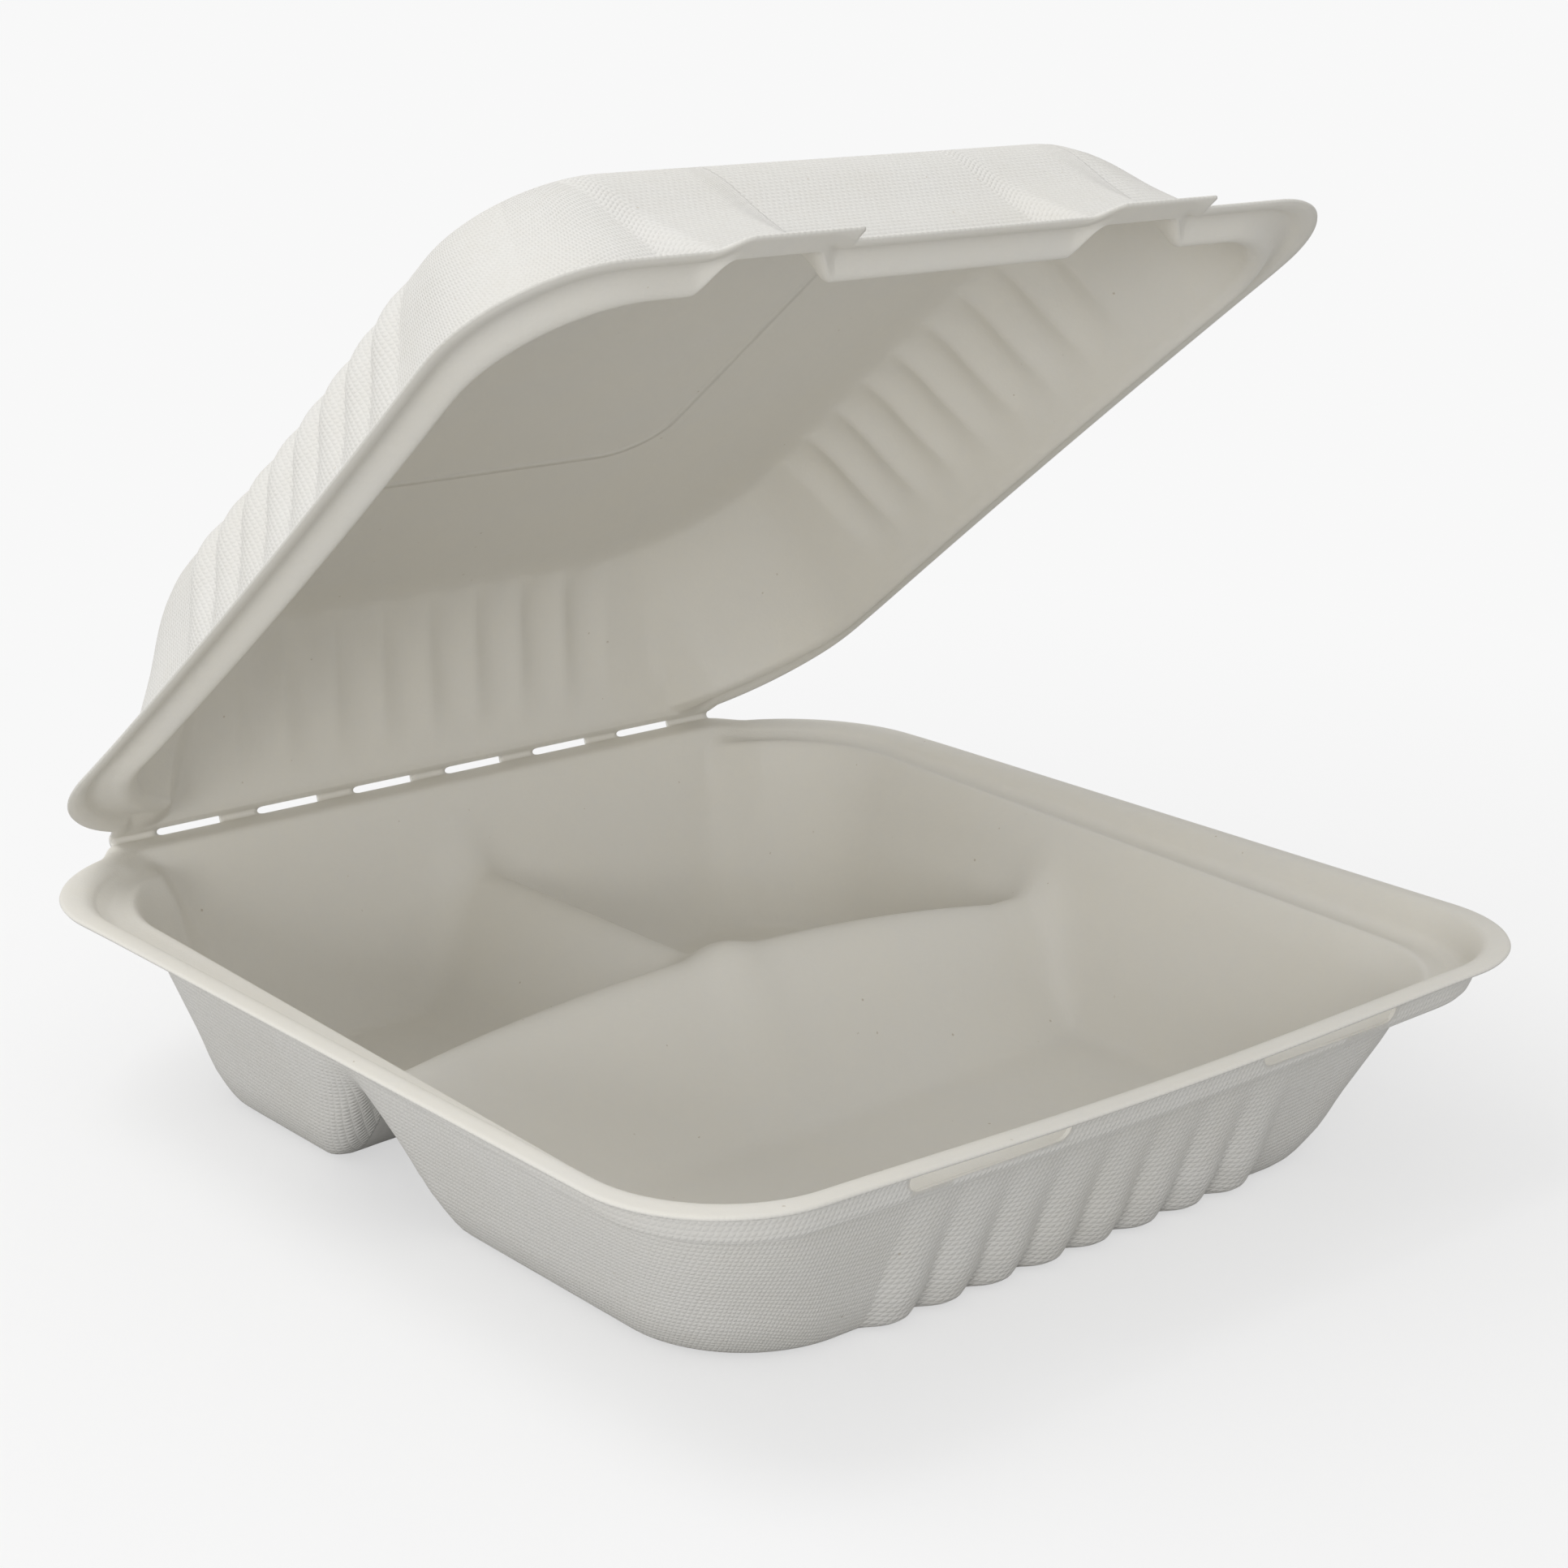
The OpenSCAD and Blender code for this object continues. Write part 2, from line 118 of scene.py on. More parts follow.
def curve_weights(control: Grid, spans: tuple) -> Grid:
    """Weights of a smooth curve through control rings, the same for all its stations.

    The curve is cubic between two rings. Its slope at a ring is that of the parabola through
    the ring and its two neighbours, at their mean distances.

    Args:
        control: control rings, from the edge inwards.
        spans: how many segments lie between each ring and the next.

    Returns:
        Matrix that turns the control rings into the rings of the curve.
    """
    gap = np.linalg.norm(np.diff(control, axis=0), axis=2).mean(axis=1)
    n = len(control)
    slope = np.zeros((n, n))
    slope[0, :2] = -1 / gap[0], 1 / gap[0]
    slope[-1, -2:] = -1 / gap[-1], 1 / gap[-1]
    for k in range(1, n - 1):
        a, b = gap[k - 1], gap[k]
        slope[k, k - 1 : k + 2] = -b / a / (a + b), (b - a) / a / b, a / b / (a + b)
    here = np.eye(n)
    rows = []
    for k, count in enumerate(spans):
        t = (np.arange(count + (k == n - 2)) / count)[:, None]
        rows.append(
            (1 - ease(t)) * here[k]
            + ease(t) * here[k + 1]
            + (t - 2 * t**2 + t**3) * gap[k] * slope[k]
            + (t**3 - t**2) * gap[k] * slope[k + 1]
        )
    return np.concatenate(rows)


def ring_normals(grid: Grid) -> Grid:
    """Unit normals of a grid of closed rings: the cross product of its two directions.

    Args:
        grid: rings that run anticlockwise, from the edge inwards.

    Returns:
        Normals that point upwards.
    """
    along = np.roll(grid, -1, axis=1) - np.roll(grid, 1, axis=1)
    inward = np.gradient(grid, axis=0)
    return unit(np.cross(along, inward))


def patch_normals(grid: Grid) -> Grid:
    """Unit normals of an open grid with rows along Y and columns along X."""
    return unit(np.cross(np.gradient(grid, axis=1), np.gradient(grid, axis=0)))


# Rings.


@dataclass
class Side:
    """One side of a ring: its middle stations and how it is divided.

    Args:
        middle: places along the side that every ring keeps, in order.
        count: how many segments run from each corner's middle to the middle stations.
        second: share of the side's second profile, as a function of the place, of the angle
            round the corner in degrees and of how far in the ring lies, from 0 to 1.
        flute: share of a flute, as a function of the place.
    """

    middle: Grid
    count: int
    second: Share | None = None
    flute: Share | None = None

    def places(self, u0: float, u1: float, ra: float, rb: float) -> Grid:
        """Places of all stations between the corner middles of a side.

        Args:
            u0: start of the side, before its corner is rounded.
            u1: end of the side.
            ra: radius of the corner at the start.
            rb: radius of the corner at the end.

        Returns:
            Places along the side, in order.
        """

        def approach(end: float, radius: float, target: float) -> Grid:
            """Places from a corner's middle to a target, evenly along the outline.

            Args:
                end: where the round of the corner stops.
                radius: radius of the corner.
                target: first middle station.

            Returns:
                Places without the target itself.
            """
            arc = radius * math.pi / 4
            beyond = end - target
            stop = arc - radius * math.asin(min(1.0, beyond / radius)) if beyond > 0 else arc - beyond
            length = np.linspace(0.0, stop, self.count + 1)[:-1]
            angle = np.maximum(math.pi / 4 - length / radius, 0.0)
            return end - radius * np.sin(angle) + np.maximum(length - arc, 0.0)

        start = approach(u0 + ra, ra, self.middle[0])
        finish = -approach(-(u1 - rb), rb, -self.middle[-1])[::-1]
        return np.concatenate([start, self.middle, finish])

    def points(
        self, tangent: tuple, normal: tuple, u0: float, u1: float, v: float, ra: float, rb: float, depth: float
    ) -> tuple:
        """Stations of the side, whose corners are arcs that fall short of the straight side.

        Args:
            tangent: direction along the side.
            normal: direction out of the outline.
            u0: start of the side along the tangent.
            u1: end of the side.
            v: distance of the side along the normal.
            ra: radius of the corner at the start.
            rb: radius of the corner at the end.
            depth: how far in the ring lies, 0 at the edge.

        Returns:
            Points, normals, shares of the second profile and of a flute, and how far each
            point lies short of the straight side.
        """
        u = self.places(u0, u1, ra, rb)[:-1]
        a, b = u0 + ra, u1 - rb
        short = np.where(u < a, ra - np.sqrt(np.maximum(ra**2 - (a - u) ** 2, 0)), 0.0)
        short = np.where(u > b, rb - np.sqrt(np.maximum(rb**2 - (u - b) ** 2, 0)), short)
        points = np.outer(u, tangent) + np.outer(v - short, normal)
        ones = np.ones_like(u)
        angle = np.degrees(np.arcsin(np.clip(np.maximum((a - u) / ra, (u - b) / rb), 0, 1)))
        second = self.second(u, angle, depth) if self.second else 0 * ones
        flute = self.flute(u) if self.flute else 0 * ones
        return points, np.outer(ones, normal), second, flute, short


@dataclass
class Outline:
    """Closed outline with a front, a right, a back and a left side."""

    width: float
    y0: float
    y1: float
    front: Side
    right: Side
    back: Side
    left: Side

    def ring(self, insets: list, radii: list, depth: float) -> list:
        """One ring of the outline.

        Args:
            insets: distances from the edge at the sides, the front and the back.
            radii: corner radii at the front and the back.
            depth: how far in the ring lies, 0 at the edge.

        Returns:
            Points, normals, shares of the second profile and of a flute, and shortfalls.
        """
        h = self.width / 2 - insets[0]
        lo, hi = self.y0 + insets[1], self.y1 - insets[2]
        rf, rb = radii
        parts = [
            self.front.points((1, 0), (0, -1), -h, h, -lo, rf, rf, depth),
            self.right.points((0, 1), (1, 0), lo, hi, h, rf, rb, depth),
            self.back.points((-1, 0), (0, 1), -h, h, hi, rb, rb, depth),
            self.left.points((0, -1), (-1, 0), -hi, -lo, h, rb, rf, depth),
        ]
        return [np.concatenate(p) for p in zip(*parts)]


def flutes(pitch: float, count: int, middle: float) -> Share:
    """Share of a flute along a wall: convex arches with narrow cusps between them.

    Args:
        pitch: distance between two cusps.
        count: how many flutes there are.
        middle: middle of the row.

    Returns:
        Function from places to shares, the rounded size of a sine.
    """

    def share(u: Grid) -> Grid:
        """Share of a flute at each place.

        Args:
            u: places along the wall.

        Returns:
            Shares from 0 at a cusp to about 1 on an arch.
        """
        phase = (u - middle) / pitch + count / 2
        inside = (phase > 0) & (phase < count)
        arch = np.abs(np.sin(np.pi * phase))
        return np.where(inside, np.sqrt(arch**2 + 0.012) - math.sqrt(0.012), 0.0) * 1.1

    return share


def evenly(lo: float, hi: float, count: int) -> Grid:
    """Places at equal distances, both ends included."""
    return np.linspace(lo, hi, count + 1)


# The sheet as a mesh.


@dataclass
class Skin:
    """One moulded half of the container, as points on a single surface.

    Args:
        rings: grid of closed rings, from the edge inwards.
        inner: open grid that closes the last ring, or None where the rings close to a point.
        face: which face of the sheet the surface is.
    """

    rings: Grid
    inner: Grid | None = None
    face: Face = Face.UPPER

    def quads(self) -> Grid:
        """Quads of the surface seen from above.

        Returns:
            Rows of four indices. A skin without an inner grid closes in a pole, two stations
            to a quad.
        """
        k, n = self.rings.shape[:2]
        row, j = np.arange(k - 1)[:, None] * n, np.arange(n)[None, :]
        a, b = row + j, row + (j + 1) % n
        quads = [np.stack([a, b, b + n, a + n], axis=-1).reshape(-1, 4)]
        if self.inner is None:
            last, j = (k - 1) * n, np.arange(0, n, 2)
            quads.append(np.stack([last + j, last + j + 1, last + (j + 2) % n, 0 * j + k * n], axis=-1))
        else:
            index = self.inner_index()
            corners = [index[:-1, :-1], index[:-1, 1:], index[1:, 1:], index[1:, :-1]]
            quads.append(np.stack(corners, axis=-1).reshape(-1, 4))
        return np.concatenate(quads)

    def inner_index(self) -> Grid:
        """Indices of the inner grid's points, whose border is the last ring.

        Returns:
            Grid of indices, with the front row first.
        """
        k, n = self.rings.shape[:2]
        ny, nx = self.inner.shape[0] - 1, self.inner.shape[1] - 1
        base = (k - 1) * n
        index = np.zeros((ny + 1, nx + 1), int)
        index[0, :] = base + np.arange(nx + 1)
        index[:, nx] = base + nx + np.arange(ny + 1)
        index[ny, :] = base + 2 * nx + ny - np.arange(nx + 1)
        index[1:, 0] = base + 2 * nx + 2 * ny - np.arange(1, ny + 1)
        index[1:ny, 1:nx] = k * n + np.arange((ny - 1) * (nx - 1)).reshape(ny - 1, nx - 1)
        return index

    def points(self) -> tuple:
        """Points of the surface, ring by ring and then the inner grid or the pole.

        Returns:
            Points and their unit normals.
        """
        normal = ring_normals(self.rings).reshape(-1, 3)
        points = self.rings.reshape(-1, 3)
        if self.inner is None:
            pole = self.rings[-1].mean(axis=0, keepdims=True)
            return np.concatenate([points, pole]), np.concatenate([normal, [[0.0, 0.0, 1.0]]])
        inner = patch_normals(self.inner)
        normal = np.concatenate([normal, inner[1:-1, 1:-1].reshape(-1, 3)])
        index = self.inner_index()
        for border in (np.s_[0, :], np.s_[-1, :], np.s_[1:-1, 0], np.s_[1:-1, -1]):
            normal[index[border]] = unit(normal[index[border]] + inner[border])
        return np.concatenate([points, self.inner[1:-1, 1:-1].reshape(-1, 3)]), normal


class SheetMesh:
    """Closed mesh of a moulded sheet: two faces and a rounded edge."""

    def __init__(self, skin: Skin) -> None:
        """Lays the second face one sheet away along the normals and joins both at the edge.

        Args:
            skin: the surface that is modelled.
        """
        points, normal = skin.points()
        n = skin.rings.shape[1]
        first = skin.rings[0]
        outward = unit((first - skin.rings[1]) * (1, 1, 0))
        under, over = skin.face.value
        top = points + over * normal
        bottom = points + under * normal
        middle = (top[:n] + bottom[:n]) / 2
        top[:n] -= EDGE_ROUND * outward
        bottom[:n] -= EDGE_ROUND * outward
        quads = skin.quads()
        m = len(points)
        j = np.arange(n)
        j1 = (j + 1) % n
        edge = 2 * m
        upper_band = np.stack([edge + j, edge + j1, j1, j], axis=-1)
        lower_band = np.stack([m + j, m + j1, edge + j1, edge + j], axis=-1)
        self.vertices = np.concatenate([top, bottom, middle])
        self.faces = np.concatenate([quads, quads[:, ::-1] + m, upper_band, lower_band])
        self.outer = np.concatenate(
            [
                np.full(m, 1.0 if skin.face is Face.LOWER else 0.0),
                np.full(m, 0.0 if skin.face is Face.LOWER else 1.0),
                np.full(n, 0.5),
            ]
        )
        self.level = np.concatenate([np.abs(normal[:, 2])] * 2 + [np.ones(n)])
        along, across, total = sheet_places(skin)
        along = np.concatenate([along, along, along[:n]])[self.faces]
        across = np.concatenate([across, across, across[:n]])[self.faces]
        over_seam = np.ptp(along, axis=1, keepdims=True) > total / 2
        along = along + total * (over_seam & (along < total / 2))
        self.sheet = np.stack([along, across, 0 * along], axis=-1).reshape(-1, 3)

    def attributes(self) -> tuple:
        """Attributes of the mesh: on points, and on the corners of its faces."""
        return {"outer": self.outer, "level": self.level, "flat": self.vertices}, {"sheet": self.sheet}


def sheet_places(skin: Skin) -> tuple:
    """Places on the sheet, for textures that follow its walls.

    Args:
        skin: the surface that is modelled.

    Returns:
        Distance round the outline and distance inwards for each point, and the outline's
        length, which is a whole number of wires.
    """
    grid = skin.rings
    step = np.linalg.norm(np.diff(grid, axis=1, append=grid[:, :1]), axis=2)[0]
    along = np.cumsum(step) - step
    scale = round(step.sum() / WIRE_PITCH) * WIRE_PITCH / step.sum()
    along = np.broadcast_to(along * scale, grid.shape[:2]).ravel()
    rise = np.linalg.norm(np.diff(grid, axis=0, prepend=grid[:1]), axis=2)
    across = np.cumsum(rise, axis=0).ravel()
    rest = len(skin.points()[0]) - len(along)
    along, across = np.append(along, np.zeros(rest)), np.append(across, np.zeros(rest))
    return along, across, step.sum() * scale


def make_object(
    name: str, vertices: Grid, faces: Grid, on_points: dict, on_corners: dict | None = None
) -> bpy.types.Object:
    """Object of a mesh, with smooth faces and named attributes.

    Args:
        name: name of the piece.
        vertices: points in millimetres.
        faces: rows of vertex indices, seen anticlockwise from outside.
        on_points: arrays by name, with one value or one vector for each point.
        on_corners: arrays by name, with one vector for each corner of each face.

    Returns:
        The object, linked into the scene.
    """
    mesh = bpy.data.meshes.new(name)
    mesh.from_pydata((vertices * MM).tolist(), [], faces.tolist())
    for domain, layers in (("POINT", on_points), ("CORNER", on_corners or {})):
        for key, values in layers.items():
            kind, member = ("FLOAT", "value") if values.ndim == 1 else ("FLOAT_VECTOR", "vector")
            layer = mesh.attributes.new(key, kind, domain)
            layer.data.foreach_set(member, values.astype(np.float32).ravel())
    mesh.polygons.foreach_set("use_smooth", np.ones(len(mesh.polygons), bool))
    mesh.update()
    obj = bpy.data.objects.new(name, mesh)
    bpy.context.scene.collection.objects.link(obj)
    log.info("%s: %d points, %d faces", name, len(mesh.vertices), len(mesh.polygons))
    return obj


# The fold.


@dataclass
class Fold:
    """Perforated fold between the tray and the lid."""

    y: float = 119.8
    z: float = 46.0
    gap: float = 0.15
    lift: float = 0.4
    lift_from: float = 15.0
    lift_run: float = 45.0
    length: float = 168.0
    out: float = 4.8
    slots: int = 6
    pitch: float = 25.6
    slot_length: float = 16.2
    slot_width: float = 2.0
    offset: float = -0.6
    open_angle: float = 38.4

    def parting(self, distance: Grid) -> Grid:
        """How far tray and lid are parted in height, which fades away from the fold."""
        return self.lift * (1 - ease((distance - self.lift_from) / self.lift_run))

    def slot_middles(self) -> Grid:
        """Middles of the perforations along the fold."""
        return self.offset + (np.arange(self.slots) - (self.slots - 1) / 2) * self.pitch

    def place_lid(self, flat: Grid) -> Grid:
        """Turns the lid open about the fold.

        Args:
            flat: points of the level lid: x, minus the distance from the fold, height.

        Returns:
            Points in the frame's place.
        """
        a = math.radians(self.open_angle)
        x, y, z = flat[..., 0], flat[..., 1], flat[..., 2]
        return np.stack(
            [
                x,
                self.y + y * math.cos(a) + z * math.sin(a),
                self.z - y * math.sin(a) + z * math.cos(a),
            ],
            axis=-1,
        )


# The tray.


@dataclass
class Tray:
    """Tray with a guttered rim, a fluted front wall and a T-shaped divider."""

    fold: Fold
    width: float = 228.0
    length: float = 234.8
    height: float = 46.0
    rim_radii: tuple = (28.0, 38.0)
    wall_radii: tuple = (22.0, 30.0)
    foot_radius: float = 25.0
    lean: tuple = (16.2, 14.6, 11.0)
    wall_in: float = 14.8
    hinge_in: float = 5.9
    lip_front: float = 8.3
    lip_back: float = 1.2
    rim_sag: float = 2.0
    sag_run: float = 60.0
    foot_rise: float = 5.0
    bridge_y: float = 130.0
    bridge_drop: tuple = (13.5, 20.5)
    spine_drop: float = 18.5
    flank: float = 2.2
    crest: float = 9.0
    blend: float = 16.0
    flute_depth: float = 2.7
    flute_pitch: float = 13.0
    flute_count: int = 8
    slot_x: tuple = (-43.3, 46.7)
    slot_y: tuple = (-116.0, -111.9)
    slot_z: float = 40.8
    slot_length: float = 38.8
    slot_height: float = 5.2

    RIM = (
        (0.0, -0.25, 0.0),
        (1.6, 0.0, 0.0),
        (4.2, -0.1, 0.0),
        (5.8, 0.0, -0.45),
        (6.7, 0.0, -0.95),
        (8.65, -0.9, -1.0),
        (11.0, -0.6, -1.0),
        (13.2, 0.0, -1.0),
        (14.8, -2.0, -1.0),
    )
    FOLD = (
        (-3.8, 0.0),
        (-2.4, 0.0),
        (0.0, 0.0),
        (2.0, -0.1),
        (3.2, -0.6),
        (4.0, -1.8),
        (4.6, -3.0),
        (5.2, -4.5),
        (5.9, -6.0),
    )
    WALL = (0.28, 0.57, 0.85, 1.0, 1.2)
    SPANS = (2, 3, 4, 3, 4, 4, 4, 3, 4, 4, 4, 4, 4)

    @property
    def front_y(self) -> float:
        """Place of the front edge."""
        return self.fold.y - self.fold.out - self.length

    @property
    def cross_y(self) -> float:
        """Place of the cross divider."""
        return self.front_y + self.bridge_y

    def lip(self, y: Grid) -> Grid:
        """Depth of the lip, which falls towards the front."""
        t = np.clip((self.front_y + self.length - y) / self.length, 0, 1)
        return mix(self.lip_back, self.lip_front, t)

    def crest_drop(self, d: Grid) -> Grid:
        """Fall of a divider's flank at distance d from its crest, a hyperbola."""
        return self.flank * (np.sqrt(d * d + self.crest**2) - self.crest)

    def divided(self, x: Grid, y: Grid, z: Grid) -> Grid:
        """Heights raised by the two dividers, each a hyperbola across its crest.

        Args:
            x: places across the tray.
            y: places from front to back.
            z: heights without dividers.

        Returns:
            Heights with dividers, blended by a rounded maximum.
        """
        share = np.minimum(1, np.abs(x) / (0.35 * self.width))
        bridge = -mix(*self.bridge_drop, share**2) - self.crest_drop(y - self.cross_y)
        spine = -self.spine_drop - self.crest_drop(
            np.hypot(x, np.minimum(0, y - self.cross_y))
        )
        return smooth_max(z, smooth_max(bridge, spine, self.blend), self.blend)

    def fold_share(self, u: Grid, angle: Grid, depth: float) -> Grid:
        """Share of the fold, which fades round the back corners and more slowly on the walls.

        Args:
            u: places along the back, which aren't used here.
            angle: angles round the corner, in degrees.
            depth: how far in the ring lies, over 1 on the walls.

        Returns:
            Shares from 0 to 1.
        """
        wall = max(depth - 1, 0)
        return 1 - ease((angle - 11 + 8 * wall) / (mix(12, 18, min(depth, 1)) + 34 * wall))

    def outline(self) -> Outline:
        """Outline of the rim.

        Returns:
            The outline, with stations close together at the flutes and the cross divider.
        """
        half = self.flute_pitch * self.flute_count / 2
        row = evenly(-half, half, 10 * self.flute_count)
        divider = evenly(self.cross_y - 24, self.cross_y + 24, 36)
        return Outline(
            self.width,
            self.front_y,
            self.front_y + self.length,
            front=Side(row, 40, flute=flutes(self.flute_pitch, self.flute_count, 0.0)),
            right=Side(divider, 38),
            back=Side(row, 40, second=self.fold_share),
            left=Side(-divider[::-1], 38),
        )

    def control(self, outline: Outline) -> tuple:
        """Control rings from the edge to the floor.

        Args:
            outline: outline of the rim.

        Returns:
            The rings, and which is the last one of the rim.
        """
        floor = SHEET - self.height
        foot_z = self.foot_rise - self.height
        rings = []
        last = len(self.RIM) - 1
        for k in range(last + 1 + len(self.WALL)):
            s = 0.0 if k <= last else self.WALL[k - last - 1]
            m = min(k, last)
            inset = self.RIM[m][0]
            foot = min(s, 1.0)
            radii = [
                mix(mix(r, w, inset / self.wall_in), self.foot_radius, foot)
                for r, w in zip(self.rim_radii, self.wall_radii)
            ]
            insets = [inset + s * lean for lean in self.lean]
            xy, d, second, flute, short = outline.ring(insets, radii, k / last)
            shift = inset - self.FOLD[m][0] if k <= last else (self.wall_in - self.hinge_in) * (1 - foot)
            fluted = 0.0 if s > 1 else self.flute_depth * ease(s / 0.9)
            y = xy[:, 1]
            xy = xy + d * ((shift + short * (1 - foot)) * second + fluted * flute)[:, None]
            rim = self.RIM[m][1] + self.RIM[m][2] * self.lip(y)
            bend = np.full_like(rim, self.FOLD[m][1])
            if k > last:
                low = floor if s > 1 else mix(foot_z, floor, 0.8) if s == 1 else None
                t = s / self.WALL[2]
                rim = np.full_like(rim, low) if low is not None else mix(rim, foot_z, t)
                bend = np.full_like(rim, low) if low is not None else mix(bend, foot_z, t)
            sag = (
                self.rim_sag
                * (1 - foot)
                * ease(1 - (y - self.front_y) / self.sag_run)
                * np.cos(np.pi / 2 * xy[:, 0] / (self.width / 2)) ** 2
            )
            part = (1 - foot) * self.fold.parting(self.fold.y - xy[:, 1])
            rings.append(np.column_stack([xy, mix(rim, bend, second) - sag - part]))
        return np.array(rings), last

    def skin(self) -> Skin:
        """Surface of the tray in the frame's place.

        Returns:
            The upper face: rings down to the floor and an inner grid between the walls.
        """
        outline = self.outline()
        control, last = self.control(outline)
        rings = np.einsum("mk,knc->mnc", curve_weights(control, self.SPANS), control)
        walls = sum(self.SPANS[:last])
        low = rings[walls:]
        low[..., 2] = self.divided(low[..., 0], low[..., 1], low[..., 2])
        border = rings[-1]
        nx = 2 * outline.front.count + len(outline.front.middle) - 1
        ny = 2 * outline.right.count + len(outline.right.middle) - 1
        front, right = border[: nx + 1], border[nx : nx + ny + 1]
        back = border[nx + ny : 2 * nx + ny + 1][::-1]
        left = np.roll(border, -(2 * nx + ny), axis=0)[: ny + 1][::-1]
        a = (front[:, 0] - front[0, 0]) / (front[-1, 0] - front[0, 0])
        b = (left[:, 1] - left[0, 1]) / (left[-1, 1] - left[0, 1])
        x = mix(left[:, :1], right[:, :1], a[None, :])
        y = mix(front[None, :, 1], back[None, :, 1], b[:, None])
        z = self.divided(x, y, SHEET - self.height + 0 * x)
        inner = np.stack([x, y, z], axis=-1)
        up = np.array([0, 0, self.height])
        return Skin(rings + up, inner + up, Face.UPPER)

    def slot_cutter(self) -> tuple:
        """Two bars with rounded ends, which cut the locking slots through the rim's front step.

        Returns:
            Points and faces of both bars.
        """
        half, radius = self.slot_length / 2, self.slot_height / 2
        turn = np.radians(np.linspace(-90, 90, 13))
        end = np.column_stack([half - radius + radius * np.cos(turn), radius * np.sin(turn)])
        section = np.concatenate([end, -end])
        n = len(section)
        j = np.arange(n)
        points, faces = [], []
        for i, x in enumerate(self.slot_x):
            for y in self.slot_y:
                height = self.slot_z + section[:, 1]
                points.append(np.column_stack([x + section[:, 0], np.full(n, y), height]))
            a = 2 * i * n + j
            b = 2 * i * n + (j + 1) % n
            around = np.stack([b, a, a + n, b + n], axis=-1)
            faces += [a.tolist(), (a[::-1] + n).tolist(), *around.tolist()]
        return np.concatenate(points), faces

    def cut_slots(self, obj: bpy.types.Object) -> None:
        """Cuts the locking slots and keeps their edges sharp.

        Args:
            obj: the tray's piece.
        """
        points, faces = self.slot_cutter()
        mesh = bpy.data.meshes.new("slot_bars")
        mesh.from_pydata((points * MM).tolist(), [], faces)
        mesh.update()
        bars = bpy.data.objects.new("slot_bars", mesh)
        bpy.context.scene.collection.objects.link(bars)
        cut = obj.modifiers.new("slots", "BOOLEAN")
        cut.operation = "DIFFERENCE"
        cut.solver = "EXACT"
        cut.object = bars
        whole = obj.evaluated_get(bpy.context.evaluated_depsgraph_get())
        obj.data = bpy.data.meshes.new_from_object(whole)
        obj.modifiers.clear()
        bpy.data.objects.remove(bars)
        obj.data.set_sharp_from_angle(angle=math.radians(SHARP_EDGE))

    def build(self) -> bpy.types.Object:
        """Makes the tray's piece.

        Returns:
            The piece, which rides on the tray.
        """
        mesh = SheetMesh(self.skin())
        obj = make_object("tray_shell", mesh.vertices, mesh.faces, *mesh.attributes())
        self.cut_slots(obj)
        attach(obj, Body.TRAY.value)
        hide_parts("tray")
        return obj


# The lid.


